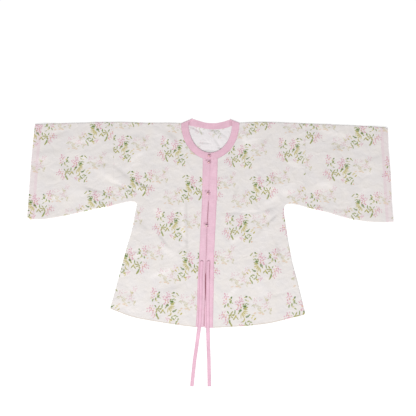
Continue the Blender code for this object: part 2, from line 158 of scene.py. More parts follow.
def creases_of(*rows: tuple[float, ...]) -> tuple[Crease, ...]:
    """Creases from rows of start x and y, end x and y, width, height and bow."""
    return tuple(Crease(*row) for row in rows)


class Side(Enum):
    """The wearer's side, with its sign along X."""

    RIGHT = -1
    LEFT = 1


@dataclass(frozen=True)
class HalfCut:
    """The edges of one half of the garment, as it lies."""

    side: Side
    armhole_x: float
    shoulder: tuple[Point, ...]
    sleeve_top: tuple[Point, ...]
    cuff: tuple[Point, ...]
    sleeve_under: tuple[Point, ...]
    underarm: tuple[Point, ...]
    side_seam: tuple[Point, ...]
    hem: tuple[Point, ...]
    band_seam: tuple[Point, ...]
    neck_point: Point
    neck_peak: Point
    facing_shows: float

    @property
    def name(self) -> str:
        """The wearer's side in words, as the nodes are named."""
        return self.side.name.lower()

    @property
    def sign(self) -> int:
        """The side's sign along X."""
        return self.side.value


RIGHT = HalfCut(
    side=Side.RIGHT,
    armhole_x=-319.6,
    shoulder=path((-150, 428.2), (-212, 427.6), (-291, 430.6), (-319.6, 430.3)),
    sleeve_top=path((-319.6, 430.3), (-388, 429), (-453, 427.4), (-520, 425.6), (-577.7, 423.4)),
    cuff=path(
        (-577.7, 423.4), (-583, 369.6), (-587.3, 331.6), (-594.2, 243.2), (-600.2, 159.1), (-602.6, 119)),
    sleeve_under=path(
        (-602.6, 119), (-596, 108.5), (-549.3, 109), (-505.7, 115.5), (-431.1, 132), (-387.3, 142.2),
        (-352, 149), (-319.6, 155.4)),
    underarm=path((-319.6, 155.4), (-291, 163), (-262.8, 168), (-250, 167), (-243.6, 161)),
    side_seam=path(
        (-242.1, 154.8), (-250.3, 114.5), (-257.9, 74.3), (-280, -1.7), (-313, -124.1), (-329.5, -184.5)),
    hem=path(
        (-329.5, -184.5), (-304.1, -195), (-270, -208), (-234.1, -217.5), (-168.5, -229), (-102.8, -239.2),
        (-48, -245.9)),
    band_seam=path(
        (-48, -245.9), (-43.7, -182.8), (-41.7, -92.4), (-36.5, -8.3), (-26.9, 173.3), (-24.5, 310.4)),
    neck_point=Point(-95.9, 426.4),
    neck_peak=Point(-58.6, 442.2),
    facing_shows=-1.0,
)

LEFT = HalfCut(
    side=Side.LEFT,
    armhole_x=314.3,
    shoulder=path((160, 430.8), (235, 429.2), (280, 427.4), (314.3, 425.8)),
    sleeve_top=path((314.3, 425.8), (384, 422.8), (452.2, 420.2), (520, 416.6), (579, 413.2), (584.9, 408)),
    cuff=path((584.9, 408), (587, 349.5), (590.2, 307.9), (593.8, 257), (598.5, 164.3), (604, 100)),
    sleeve_under=path(
        (604, 100), (561.6, 98.3), (517.9, 101.3), (474.2, 107.9), (430.5, 118.8), (386.6, 132), (350, 141),
        (314.3, 149.6)),
    underarm=path((314.3, 149.6), (290.2, 156.1), (262, 160.1), (250, 158), (244, 150)),
    side_seam=path(
        (242.1, 134.3), (248.7, 90.4), (255.3, 46.5), (263.8, 0.7), (272.7, -40.9), (294.5, -124.1),
        (312, -198.7)),
    hem=path(
        (312, -198.7), (308, -205.3), (264.2, -216.2), (202.8, -231.3), (137.1, -240.2), (62.5, -245.5),
        (8.7, -248.2)),
    band_seam=path((8.7, -248.2), (11.1, -140.3), (12.4, -58.7), (12.7, -8.3), (21.6, 173.3), (24.8, 310.4)),
    neck_point=Point(96.9, 428.0),
    neck_peak=Point(65.8, 440.2),
    facing_shows=1.2,
)

# The line where the two front bands meet, from the hem up, and the half width of the gap between them
FRONT_OPENING = path(
    (-20.3, -247), (-18.6, -183.2), (-16, -140.3), (-15.7, -71), (-13.4, -8.3), (-9.7, 94), (-3.8, 203),
    (0.5, 307))
GAPE = path(
    (1.6, -247), (0.7, -200), (0.7, -165), (1.6, -120), (1.7, -75), (0.5, -62), (0.5, 94), (0.95, 108),
    (0.95, 162), (0.08, 178), (0.08, 307))

# Above each button its loop pulls the opening a little apart, and its stitches pull a dimple beside that
PULLED_OPEN = path((-0.8, 324.5), (-0.8, 305.2), (-5.1, 203.6), (-9.0, 97.6))
PULLED_IN = path((-10.7, 323.4), (-12.4, 304.6), (-14.4, 203.2), (-17.6, 96.6))

BACK_NECK_SEAM = path(
    (-70.1, 419.5), (-47.7, 415), (-19.3, 409.5), (2.5, 406.6), (34.2, 407.6), (55, 412), (72, 418.4))
BACK_NECK_FREE = path((-38.1, 434.8), (-14.4, 428.2), (5.8, 426.7), (23.6, 427.4), (45.4, 432))

# The large folds that the solids have too
LARGE_FOLDS = creases_of(
    (-345, 255, -228, 193, 13, 1.0), (-352, 204, -262, 182, 9, 1.0), (-214, 215, -222, 62, 18, -0.5),
    (-175, 36, -105, -16, 14.4, 1.1), (-440, 330, -360, 290, 15.6, 0.9), (-265, -60, -215, -190, 19.2, 1.0),
    (92, 150, 215, 122, 12, 1.2), (150, 205, 300, 232, 15.6, 1.2), (330, 205, 440, 262, 16.8, 1.0),
    (120, -40, 196, -150, 19.2, 0.9), (196, 60, 214, -60, 16.8, -0.5), (105, 395, 150, 330, 14.4, 0.8),
)

# The front's creases are shaped, and painted too: shade in their troughs, a little light on their ridges.
FRONT_CREASES = creases_of(
    (-397, 295, -321, 289, 8, -0.7), (-321, 289, -248, 234, 7, -0.9), (-248, 234, -189, 213, 5, -1.0),
    (-321, 229, -243, 198, 4.5, -1.1), (-420, 217, -358, 201, 4.5, -1.1), (-358, 201, -298, 187, 4.5, -1.3),
    (-262, 208, -241, 200, 5, -1.2), (-380, 279, -275, 230, 12, 0.5, 6), (-248, 220, -199, 196, 8, 0.8),
    (-473, 200, -397, 200, 12, 0.5), (-585, 322, -473, 338, 9, -0.6, -5), (-585, 305, -529, 313, 8, 0.6),
    (-539, 380, -469, 398, 7, -0.6), (-575, 266, -496, 246, 9, -0.5, 4), (-275, 295, -209, 338, 8, 0.7, -4),
    (-285, 272, -232, 305, 6, 0.5), (-80, 206, -75, -31, 4, -0.75), (-93, 204, -86, 10, 7, 0.5),
    (-205, -84, -106, -41, 10, 0.8), (-100, 66, -73, 28, 4.5, -0.7), (-73, 28, -110, -2, 4.5, -0.7),
    (-176, 70, -133, 15, 4.5, -0.9), (-255, -15, -225, 2, 6, 0.6), (-304, -157, -232, -214, 11, 0.4),
    (-166, -124, -83, -100, 8, -0.6, 4), (-199, 411, -105, 345, 10, 0.5), (-149, 404, -104, 371, 6, -0.8),
    (-588, 134, -502, 140, 7, -0.6), (-562, 173, -489, 187, 9, 0.5), (-500, 290, -430, 270, 8, -0.5, 5),
    (-455, 365, -380, 372, 10, 0.5), (-360, 330, -300, 345, 8, -0.45), (-250, 390, -200, 372, 8, -0.5),
    (-190, 150, -150, 120, 8, 0.65), (-235, 110, -200, 70, 7, -0.45), (32, 129, 121, 131, 4.5, -0.6),
    (121, 131, 176, 132, 4.5, -0.7), (171, 133, 221, 153, 5, -0.8), (228, 132, 176, 86, 3.8, -1.2),
    (176, 86, 150, 54, 4.5, -0.5), (171, 163, 230, 187, 9, 0.7), (100, 371, 158, 381, 13, 0.8),
    (158, 361, 204, 388, 8, -0.5), (395, 345, 445, 355, 8, -0.8), (339, 249, 422, 213, 8, 0.4, 4),
    (356, 266, 445, 233, 6, -0.5, 4), (336, 160, 389, 146, 5, -0.6), (389, 146, 478, 138, 5, -0.6),
    (230, 200, 283, 207, 10, 0.8), (171, 81, 196, 54, 10, 0.5), (197, 272, 220, 220, 7, -0.45),
    (263, 338, 296, 378, 9, 0.5), (39, -157, 98, -107, 9, 0.7), (214, 41, 240, -31, 6, -0.8),
    (171, -157, 247, -130, 9, -0.4), (60, 30, 110, 60, 8, 0.65), (468, 190, 534, 213, 9, 0.5),
    (511, 305, 573, 322, 8, -0.5), (356, 404, 461, 385, 10, 0.5), (72, 173, 98, 232, 6, -0.6),
    (480, 270, 560, 262, 9, 0.45), (500, 130, 585, 126, 7, -0.45), (250, 300, 310, 285, 9, 0.5),
)

# Behind: what shows of the back's inside through the neck, and like creases on the side that it lies on. The
# back can't sink below its middle, so the troughs here show only as painted shade.
BACK_CREASES = creases_of(
    (-72, 418, -34, 397, 2.6, -1.9), (-62, 424, -24, 405, 5, 0.3), (-34, 397, -18, 393, 3, -1.2),
    (-8, 404.5, 28, 400, 3.0, -2.4), (-40, 363, 2, 361, 2.6, -1.0), (24, 401, 58, 376, 3.6, -0.9),
    (12, 378, 33, 348, 3.2, -0.8), (24, 380, 42, 350, 4.5, 0.3), (-24, 338, 16, 337, 3.0, -1.0),
    (24, 348, 42, 338, 2.6, -2.0), (1.5, 402, 1.5, 332, 1.2, 0.3), (-200, 60, -120, -20, 9, 0.35),
    (-210, -90, -100, -60, 10, 0.3), (90, 150, 210, 120, 8, 0.35), (80, -60, 190, -140, 10, 0.3),
    (-390, 290, -280, 240, 9, 0.35), (-540, 330, -450, 300, 9, 0.3), (360, 270, 470, 230, 9, 0.35),
    (470, 350, 560, 330, 8, 0.3), (-60, 250, -40, 80, 8, 0.3), (120, 300, 180, 240, 9, 0.3),
)


def soft_step(value: np.ndarray | float, start: float, length: float) -> np.ndarray | float:
    """A soft step from 0 to 1.

    Args:
        value: one or more places on the way.
        start: where the step begins.
        length: how far on it ends, below zero for a step that goes the other way.

    Returns:
        The step's height at each place.
    """
    share = np.clip((value - start) / length, 0.0, 1.0)
    return share * share * (3.0 - 2.0 * share)


def bell(off: np.ndarray | float, width: float = 1.0) -> np.ndarray | float:
    """1 in the middle, with a soft fall to 0 on both sides."""
    return np.exp(-((off / width) ** 2))


def across(line: tuple[Point, ...], y: np.ndarray | float) -> np.ndarray | float:
    """The x of a line that runs up the garment, at one or more heights."""
    rows = sorted(line, key=lambda p: p.y)
    return np.interp(y, [p.y for p in rows], [p.x for p in rows])


def relief_of(creases: tuple[Crease, ...], places: np.ndarray) -> np.ndarray:
    """How far a set of creases lifts or lowers the cloth.

    Args:
        creases: the ridges and troughs.
        places: x and y of each place.

    Returns:
        The lift at each place.
    """
    total = np.zeros(len(places))
    for crease in creases:
        run = np.array([crease.x_end - crease.x_start, crease.y_end - crease.y_start])
        length = float(np.hypot(*run))
        to_place = places - np.array([crease.x_start, crease.y_start])
        along = to_place @ run / length**2
        off = (to_place[:, 0] * run[1] - to_place[:, 1] * run[0]) / length
        off = off - crease.bow * 4.0 * np.clip(along, 0, 1) * (1.0 - np.clip(along, 0, 1))
        start, end = (soft_step(share, -0.25 * CREASE_FADE, CREASE_FADE) for share in (along, 1.0 - along))
        total += crease.height * start * end * bell(off, crease.width)
    return total


def moved_in(points: list[Point], inset: Callable[[Point], float], left: bool) -> list[Point]:
    """Moves a line to one side by an amount that its points may vary.

    Args:
        points: the line.
        inset: how far to move at a point.
        left: whether it moves to its left.

    Returns:
        The moved line.
    """
    result = []
    for i, point in enumerate(points):
        ways = ((points[max(i - 1, 0)], point), (point, points[min(i + 1, len(points) - 1)]))
        normals = [Vector((a.y - b.y, b.x - a.x)).normalized() for a, b in ways if a != b]
        middle = (normals[0] + normals[-1]).normalized()
        shift = middle * inset(point) / max(0.5, middle.dot(normals[0])) * (1 if left else -1)
        result.append(point.moved(*shift))
    return result


def eased(points: tuple[Point, ...], steps: int = 4) -> list[Point]:
    """A smooth line through some points.

    Args:
        points: the points.
        steps: how many short pieces each stretch gets.

    Returns:
        The smooth line's points.
    """
    line = []
    last = len(points) - 1
    for i in range(last):
        a, b, c, d = (np.array(points[min(max(i + step, 0), last)]) for step in (-1, 0, 1, 2))
        for share in np.arange(steps) / steps:
            cubic = c - a + share * (2 * a - 5 * b + 4 * c - d + share * (3 * b - a - 3 * c + d))
            line.append(Point(*(b + 0.5 * share * cubic)))
    return [*line, points[-1]]


def distance_to(line: tuple[Point, ...] | list[Point], places: np.ndarray) -> np.ndarray:
    """How far each place is from a line.

    Args:
        line: the line's points, in order.
        places: x and y of each place.

    Returns:
        The distances.
    """
    best = np.full(len(places), np.inf)
    for a, b in zip(line, line[1:]):
        start, run = np.array(a), np.array(b) - np.array(a)
        share = np.clip((places - start) @ run / max(float(run @ run), 1e-9), 0.0, 1.0)
        best = np.minimum(best, np.linalg.norm(places - start - share[:, None] * run, axis=1))
    return best


def linear(hex_colour: str) -> tuple[float, float, float, float]:
    """An sRGB hex colour, such as "#E9E6E4", as the linear colour and alpha that a shader takes."""
    parts = [int(hex_colour[i:i + 2], 16) / 255.0 for i in (1, 3, 5)]
    return (*[c / 12.92 if c <= 0.04045 else ((c + 0.055) / 1.055) ** 2.4 for c in parts], 1.0)


def feed(node: bpy.types.Node, inputs: dict[str | int, object]) -> None:
    """Sets or links some of a node's inputs.

    Args:
        node: the node.
        inputs: for each, by name or number, a value, an output, or a node whose first output in use it takes.
    """
    for key, value in inputs.items():
        if isinstance(value, bpy.types.Node):
            value = next(output for output in value.outputs if output.enabled)
        if isinstance(value, bpy.types.NodeSocket):
            node.id_data.links.new(value, node.inputs[key])
        else:
            node.inputs[key].default_value = value


def add_node(tree: bpy.types.NodeTree, kind: str, inputs: dict | None = None,
             **settings: object) -> bpy.types.Node:
    """Adds a node with its settings, and sets or links its inputs.

    Args:
        tree: the tree that gets it.
        kind: the shader node's type without its first words, or a group's input or output.
        inputs: what its inputs take.
        settings: the node's own properties.

    Returns:
        The new node.
    """
    node = tree.nodes.new(kind if kind.startswith("NodeGroup") else f"ShaderNode{kind}")
    for name, value in settings.items():
        setattr(node, name, value)
    feed(node, inputs or {})
    return node


class Tone(Enum):
    """The print's pigments in the order that they lie on each other: as printed, and on the faint sprigs."""

    SAGE = ("#A3AC6C", "#CCC8AC")
    GREEN = ("#86993C", "#C8C49E")
    DEEP = ("#5B7C16", "#C0BE94")
    OLIVE = ("#A3A348", "#CEC69F")
    MUSTARD = ("#C0B557", "#D8CDA4")
    STRAW = ("#DACF92", "#E0D5B2")
    ROSE = ("#DA98AD", "#E6C2CA")
    BLUSH = ("#E6B9C6", "#EAD0D5")
    APRICOT = ("#E3BC9C", "#E9CDB2")


class Blot(NamedTuple):
    """One brush mark of the print: an oval of a pigment."""

    x: float
    y: float
    half_length: float
    half_width: float
    turn: float
    tone: Tone


class Flower(NamedTuple):
    """A small open flower: thin petals round a few short strokes."""

    x: float
    y: float
    reach: float
    petals: int
    turn: float


class Fan(NamedTuple):
    """Leaves that spread from one place."""

    x: float
    y: float
    turn: float
    spread: float
    leaves: int
    length: float
    tone: Tone
    other_tone: Tone


def blots_of(rows: dict[Tone, tuple[tuple[float, ...], ...]]) -> tuple[Blot, ...]:
    """Brush marks from each pigment's rows of x, y, half length, half width and turn."""
    return tuple(Blot(*row, tone) for tone, group in rows.items() for row in group)


@dataclass(frozen=True)
class Sprig:
    """One kind of sprig: its sites in the repeat, with -1 for a mirror image, and what it is painted of."""

    sites: tuple[tuple[float, float, int], ...]
    flowers: tuple[Flower, ...]
    fans: tuple[Fan, ...]
    blots: tuple[Blot, ...]
    faint: bool = False
    strength: float = 1.0


MAIN_SPRIG = Sprig(
    sites=((0, 0, 1), (67, -122, -1)),
    flowers=(
        Flower(-3, 17, 13, 9, 0), Flower(1, 32, 8, 5, 30), Flower(-46, 36, 10, 6, 15),
        Flower(-48, 21, 6, 4, 50), Flower(-53, -14, 12, 7, 20), Flower(-42, -29, 9, 5, 5),
        Flower(2, -38, 7, 4, 25),
    ),
    fans=(
        Fan(2, 0, -34, 122, 9, 23, Tone.MUSTARD, Tone.STRAW),
        Fan(3, -2, -38, 90, 4, 13, Tone.OLIVE, Tone.MUSTARD),
        Fan(6, 4, 32, 92, 5, 18, Tone.GREEN, Tone.SAGE),
    ),
    blots=blots_of({
        Tone.SAGE: (
            (24, 17, 2.8, 1.6, 0), (20, 8, 4.2, 1.8, 8), (17, 28, 3.4, 1.7, -15), (-25, 20, 3.2, 1.5, -20),
            (-38, 16, 4.4, 2.6, 80), (-28, 6, 3.8, 1.7, -20), (25, -28, 4.6, 2.0, 25),
            (28, -35, 3.4, 1.5, 60), (36, -38, 4.0, 2.0, 60)),
        Tone.GREEN: (
            (10, 17, 4.2, 1.6, 40), (18, 18, 4.6, 1.6, 25), (12, 5, 3.8, 1.7, -10), (34, 31, 2.4, 1.5, -30),
            (-30, 24, 4.8, 3.2, 60), (-47, 12, 5.0, 2.0, 70), (-37, -6, 4.6, 1.7, -55),
            (-16, -4, 5.6, 2.0, 84), (-31, -31, 6.6, 2.7, -70), (28, -12, 3.4, 1.7, 20),
            (16, -33, 4.4, 2.0, 78), (21, -38, 5.2, 2.1, -40), (32, -30, 4.0, 2.0, -12),
            (30, -49, 4.6, 2.0, 80)),
        Tone.DEEP: (
            (0, 0, 4.6, 3.8, 20), (14, 11, 4.8, 2.8, 20), (19, 37, 3.6, 2.4, 10), (-28, 35, 3.2, 2.3, 60),
            (22, -16, 5.2, 2.6, 12)),
        Tone.OLIVE: (
            (-4, -6, 4.4, 2.0, 55), (30, 35, 4.8, 1.8, -42), (-26, -6, 5.0, 1.8, 50),
            (-30, -13, 5.6, 2.1, 15), (-21, -12, 4.6, 2.0, 10), (-33, -20, 5.2, 2.2, 70),
            (-27, -38, 4.6, 2.4, -60), (-25, -18, 4.2, 1.9, -30), (-18, -22, 5.0, 2.2, 40),
            (-9, -20, 5.2, 1.8, -52), (7, -29, 3.2, 1.4, 20), (33, -44, 3.8, 1.7, 30)),
        Tone.MUSTARD: (
            (3, 7, 3.6, 1.5, 70), (14, 35, 3.0, 1.4, 0), (-32, 30, 3.6, 1.8, 40), (-14, -16, 3.8, 2.1, 60),
            (45, -22, 4.4, 1.8, 40), (12, -25, 5.2, 2.1, 66), (14, -41, 4.4, 2.8, 10)),
        Tone.STRAW: (
            (23, 26, 3.6, 1.5, 0), (-35, 11, 3.2, 1.9, 20), (-53, 17, 3.2, 1.5, 20), (40, -13, 3.6, 2.0, 0),
            (36, -18, 3.2, 1.7, 50), (11, -47, 3.8, 1.6, -50)),
        Tone.ROSE: ((-10, 3, 3.0, 2.0, 0), (-49, 46, 2.6, 2.0, 0)),
        Tone.APRICOT: (
            (37, -50, 3.2, 1.8, 20), (-6, 13, 2.6, 1.8, 0), (-44, 31, 3.0, 1.6, 0),
            (-50, -11, 3.0, 1.6, 20), (-43, -18, 2.6, 1.6, 90), (-38, -34, 2.8, 1.6, 60)),
    }),
)

FAINT_SPRIG = Sprig(
    sites=((71, 11, 1), (151, -95, 1), (0, -164, 1)),
    flowers=(
        Flower(-24, 16, 9, 5, 10), Flower(20, 28, 10, 6, 30), Flower(8, 3, 12, 7, 0),
        Flower(-8, 18, 6, 3, 40),
    ),
    fans=(
        Fan(-22, -4, 60, 220, 8, 12, Tone.OLIVE, Tone.SAGE),
        Fan(4, 14, 20, 140, 6, 13, Tone.OLIVE, Tone.STRAW),
        Fan(-3, -8, 200, 170, 7, 12, Tone.STRAW, Tone.OLIVE),
        Fan(14, -12, 10, 120, 5, 13, Tone.SAGE, Tone.STRAW),
    ),
    blots=blots_of({
        Tone.SAGE: ((5, -11, 4.6, 2.1, 10),),
        Tone.DEEP: ((-31, 3, 5.6, 1.9, 32), (12, 17, 4.6, 2.1, 10)),
        Tone.OLIVE: ((24, -8, 4.6, 1.8, 80),),
        Tone.APRICOT: (
            (-11, -17, 5.0, 2.4, 0), (-26, -18, 4.0, 2.0, 20), (-1, -20, 4.0, 2.0, 0)),
    }),
    faint=True,
    strength=0.85,
)


@dataclass(frozen=True)
class SprigPrint:
    """The print: one sprig and its mirror image on a half-drop repeat, with fainter sprigs between them.

    Reaches and lengths of its brush marks are shares of the flower's reach or the leaf's length.
    """

    repeat: tuple[float, float] = (198.0, 247.5)
    sprigs: tuple[Sprig, ...] = (FAINT_SPRIG, MAIN_SPRIG)
    brush_wobble: float = 2.0
    petal_reach: tuple[float, ...] = (0.7, 0.98, 0.82)
    petal_length: float = 0.24
    petal_width: float = 1.4
    petal_skew: float = 14.0
    heart_reach: float = 0.36
    heart_length: float = 0.18
    leaf_reach: tuple[float, ...] = (0.68, 0.56, 0.74)
    leaf_length: float = 0.26
    leaf_width: float = 1.2
    soft_rim: tuple[float, float] = (1.32, 0.72)
    hair: float = 1e-6

    def marks(self, sprig: Sprig) -> list[Blot]:
        """Every brush mark of a sprig: two for each petal, one for each leaf, and the others.

        Args:
            sprig: the sprig.

        Returns:
            The marks, round the sprig's middle.
        """
        marks = list(sprig.blots)
        for flower in sprig.flowers:
            for number in range(2 * flower.petals):
                angle = flower.turn + 180.0 * number / flower.petals + self.petal_skew * (number % 3)
                reach, length = self.heart_reach, self.heart_length
                if number % 2:
                    reach, length = self.petal_reach[number % 3], self.petal_length
                tone = Tone.BLUSH if number % 4 in (1, 2) else Tone.ROSE
                marks.append(self.stroke(flower, angle, flower.reach * reach, flower.reach * length,
                                         self.petal_width, tone))
        for fan in sprig.fans:
            for number in range(fan.leaves):
                angle = fan.turn + fan.spread * ((number + 0.5) / fan.leaves - 0.5)
                tone = fan.other_tone if number % 2 else fan.tone
                marks.append(self.stroke(fan, angle, fan.length * self.leaf_reach[number % 3],
                                         self.leaf_length * fan.length, self.leaf_width, tone))
        return marks

    def stroke(self, root: Flower | Fan, angle: float, reach: float, half_length: float, half_width: float,
               tone: Tone) -> Blot:
        """One petal or leaf that points away from its root.

        Args:
            root: where it grows.
            angle: the way that it points, in degrees.
            reach: how far its middle is from the root.
            half_length: half its length.
            half_width: half its width.
            tone: its pigment.

        Returns:
            The brush mark.
        """
        turn = math.radians(angle)
        x, y = root.x + reach * math.cos(turn), root.y + reach * math.sin(turn)
        return Blot(x, y, half_length, half_width, angle, tone)

    def node_group(self) -> bpy.types.NodeTree:
        """The print as a node group.

        Returns:
            A group that takes a place in millimetres and a cloth colour, and gives the printed colour.
        """
        tree = bpy.data.node_groups.new("sprig_print", "ShaderNodeTree")
        for name, way, kind in (("Place", "INPUT", "Vector"), ("Cloth", "INPUT", "Color"),
                                ("Strength", "INPUT", "Float"), ("Colour", "OUTPUT", "Color")):
            tree.interface.new_socket(name, in_out=way, socket_type=f"NodeSocket{kind}")
        given = add_node(tree, "NodeGroupInput").outputs
        flat = add_node(tree, "VectorMath", {0: given["Place"], 1: (1, 1, 0)}, operation="MULTIPLY")
        ripple = add_node(tree, "TexNoise", {"Vector": flat, "Scale": 0.16, "Detail": 2.0})
        ripple = add_node(tree, "VectorMath", {0: ripple.outputs["Color"], 1: (0.5, 0.5, 0.5)},
                          operation="SUBTRACT")
        wobble = (self.brush_wobble * 2, self.brush_wobble * 2, 0)
        place = add_node(tree, "VectorMath", {0: ripple, 1: wobble, 2: flat}, operation="MULTIPLY_ADD")
        density = add_node(tree, "TexNoise", {"Vector": flat, "Scale": 0.11, "Detail": 3.0})
        density = add_node(tree, "MapRange", {
            "Value": density, "From Min": 0.32, "From Max": 0.62, "To Min": 0.72, "To Max": 1.0})
        density = add_node(tree, "Math", {0: density, 1: given["Strength"]}, operation="MULTIPLY")
        colour = given["Cloth"]
        for sprig in self.sprigs:
            local = self.nearest(tree, place, sprig.sites)
            marks = self.marks(sprig)
            for tone in Tone:
                chosen = [mark for mark in marks if mark.tone is tone]
                if chosen:
                    # Each pigment waits for the one before, so that Cycles holds few values at a time
                    local = add_node(tree, "VectorMath", {0: colour, 1: (self.hair,) * 3, 2: local},
                                     operation="MULTIPLY_ADD")
                    cover = self.cover(tree, local, chosen)
                    cover = add_node(tree, "Math", {0: cover, 1: sprig.strength}, operation="MULTIPLY")
                    cover = add_node(tree, "Math", {0: cover, 1: density}, operation="MULTIPLY")
                    colour = add_node(tree, "Mix", {0: cover, 6: colour, 7: linear(tone.value[sprig.faint])},
                                      data_type="RGBA")
        add_node(tree, "NodeGroupOutput", {"Colour": colour})
        return tree

    def nearest(self, tree: bpy.types.NodeTree, place: Source,
                sites: tuple[tuple[float, float, int], ...]) -> Source:
        """Coordinates round whichever of the repeat's sites is nearest.

        Args:
            tree: the tree that gets the nodes.
            place: the place on the cloth, in millimetres.
            sites: where the sprigs of one kind stand in the repeat, and -1 for a mirror image.

        Returns:
            The place as seen from the nearest sprig's middle.
        """
        half = (self.repeat[0] / 2, self.repeat[1] / 2, 1.0)
        best = best_far = None
        for x, y, hand in sites:
            local = add_node(tree, "VectorMath", {0: place, 1: (x, y, 0.0)}, operation="SUBTRACT")
            local = add_node(tree, "VectorMath", {0: local, 1: half, 2: tuple(-side for side in half)},
                             operation="WRAP")
            far = add_node(tree, "VectorMath", {0: local}, operation="LENGTH")
            local = add_node(tree, "VectorMath", {0: local, 1: (hand, 1.0, 1.0)}, operation="MULTIPLY")
            if best is None:
                best, best_far = local, far
                continue
            nearer = add_node(tree, "Math", {0: far, 1: best_far}, operation="LESS_THAN")
            best = add_node(tree, "Mix", {0: nearer, 4: best, 5: local}, data_type="VECTOR")
            best_far = add_node(tree, "Math", {0: far, 1: best_far}, operation="MINIMUM")
        return best

    def cover(self, tree: bpy.types.NodeTree, local: Source, marks: list[Blot]) -> Source:
        """How much a set of brush marks covers each place.

        Args:
            tree: the tree that gets the nodes.
            local: the place round the sprig's middle.
            marks: the marks of one pigment.

        Returns:
            0 outside the marks and 1 inside them, with a soft rim.
        """
        least = None
        for mark in marks:
            turned = add_node(tree, "Mapping", {
                "Vector": local, "Location": (mark.x, mark.y, 0.0),
                "Rotation": (0.0, 0.0, math.radians(mark.turn)),
                "Scale": (mark.half_length, mark.half_width, 1.0)}, vector_type="TEXTURE")
            far = add_node(tree, "VectorMath", {0: turned}, operation="LENGTH")
            least = add_node(tree, "Math", {0: least, 1: far}, operation="MINIMUM") if least else far
        outside, inside = self.soft_rim
        return add_node(tree, "MapRange", {"Value": least, "From Min": outside, "From Max": inside},
                        interpolation_type="SMOOTHSTEP")


@dataclass(frozen=True)
class GrainLay:
    """How the cloth's repeat lies on a panel: one sprig's middle, and the way to the next across and up.

    Spread makes the rows wider apart towards the hem, flare the columns, and swing tilts the rows there.
    """

    sprig: Point
    across: Point
    up: Point
    spread: float = 0.0
    flare: float = 0.0
    swing: float = 0.0

    def place_on_print(self, tree: bpy.types.NodeTree, place: Source, repeat: tuple[float, float]) -> Source:
        """Where each place of the panel is on the flat cloth's print.

        Args:
            tree: the material's tree.
            place: the place on the panel, in millimetres.
            repeat: the size of one repeat on the flat cloth.

        Returns:
            The place round the sprig's middle, with the repeats all of one size.
        """
        width, height = repeat
        area = self.across.x * self.up.y - self.across.y * self.up.x
        centred = add_node(tree, "VectorMath", {0: place, 1: (*self.sprig, 0.0)}, operation="SUBTRACT")
        along = (self.up.y * width / area, -self.up.x * width / area, 0.0)
        along = add_node(tree, "VectorMath", {0: centred, 1: along}, operation="DOT_PRODUCT")
        risen = (-self.across.y * height / area, self.across.x * height / area, 0.0)
        risen = add_node(tree, "VectorMath", {0: centred, 1: risen}, operation="DOT_PRODUCT")
        square = add_node(tree, "Math", {0: risen, 1: risen}, operation="MULTIPLY")
        spread = self.spread / height
        risen = add_node(tree, "Math", {0: square, 1: spread, 2: risen}, operation="MULTIPLY_ADD")
        tilt = add_node(tree, "Math", {0: along, 1: -self.swing, 2: 1.0}, operation="MULTIPLY_ADD")
        risen = add_node(tree, "Math", {0: risen, 1: tilt}, operation="MULTIPLY")
        wider = add_node(tree, "Math", {0: risen, 1: self.flare, 2: 1.0}, operation="MULTIPLY_ADD")
        along = add_node(tree, "Math", {0: along, 1: wider}, operation="MULTIPLY")
        return add_node(tree, "CombineXYZ", {"X": along, "Y": risen})


@dataclass(frozen=True, kw_only=True)
class Finish:
    """What all finishes share: how a surface shines, and nodes that are given places in millimetres."""

    roughness: float
    sheen: float = 0.0
    gloss: float = 0.5
    coat: float = 0.0

    def material(self, name: str) -> bpy.types.Material:
        """The finish as a material.

        Args:
            name: the material's name.

        Returns:
            The material.
        """
        material = bpy.data.materials.new(name)
        material.use_nodes = True
        tree = material.node_tree
        coords = add_node(tree, "TexCoord").outputs["Object"]
        place = add_node(tree, "VectorMath", {0: coords, "Scale": 1 / MM}, operation="SCALE")
        feed(tree.nodes["Principled BSDF"], {
            "Roughness": self.roughness, "Sheen Weight": self.sheen, "Specular IOR Level": self.gloss,
            "Coat Weight": self.coat, **self.dress(tree, place)})
        return material

    def dress(self, tree: bpy.types.NodeTree, place: Source) -> dict[str, Source]:
        """What the finish's own nodes give to the shader.

        Args:
            tree: the material's tree.
            place: the place on the piece, in millimetres.

        Returns:
            A node for each of the shader's inputs that needs one.
        """
        raise NotImplementedError


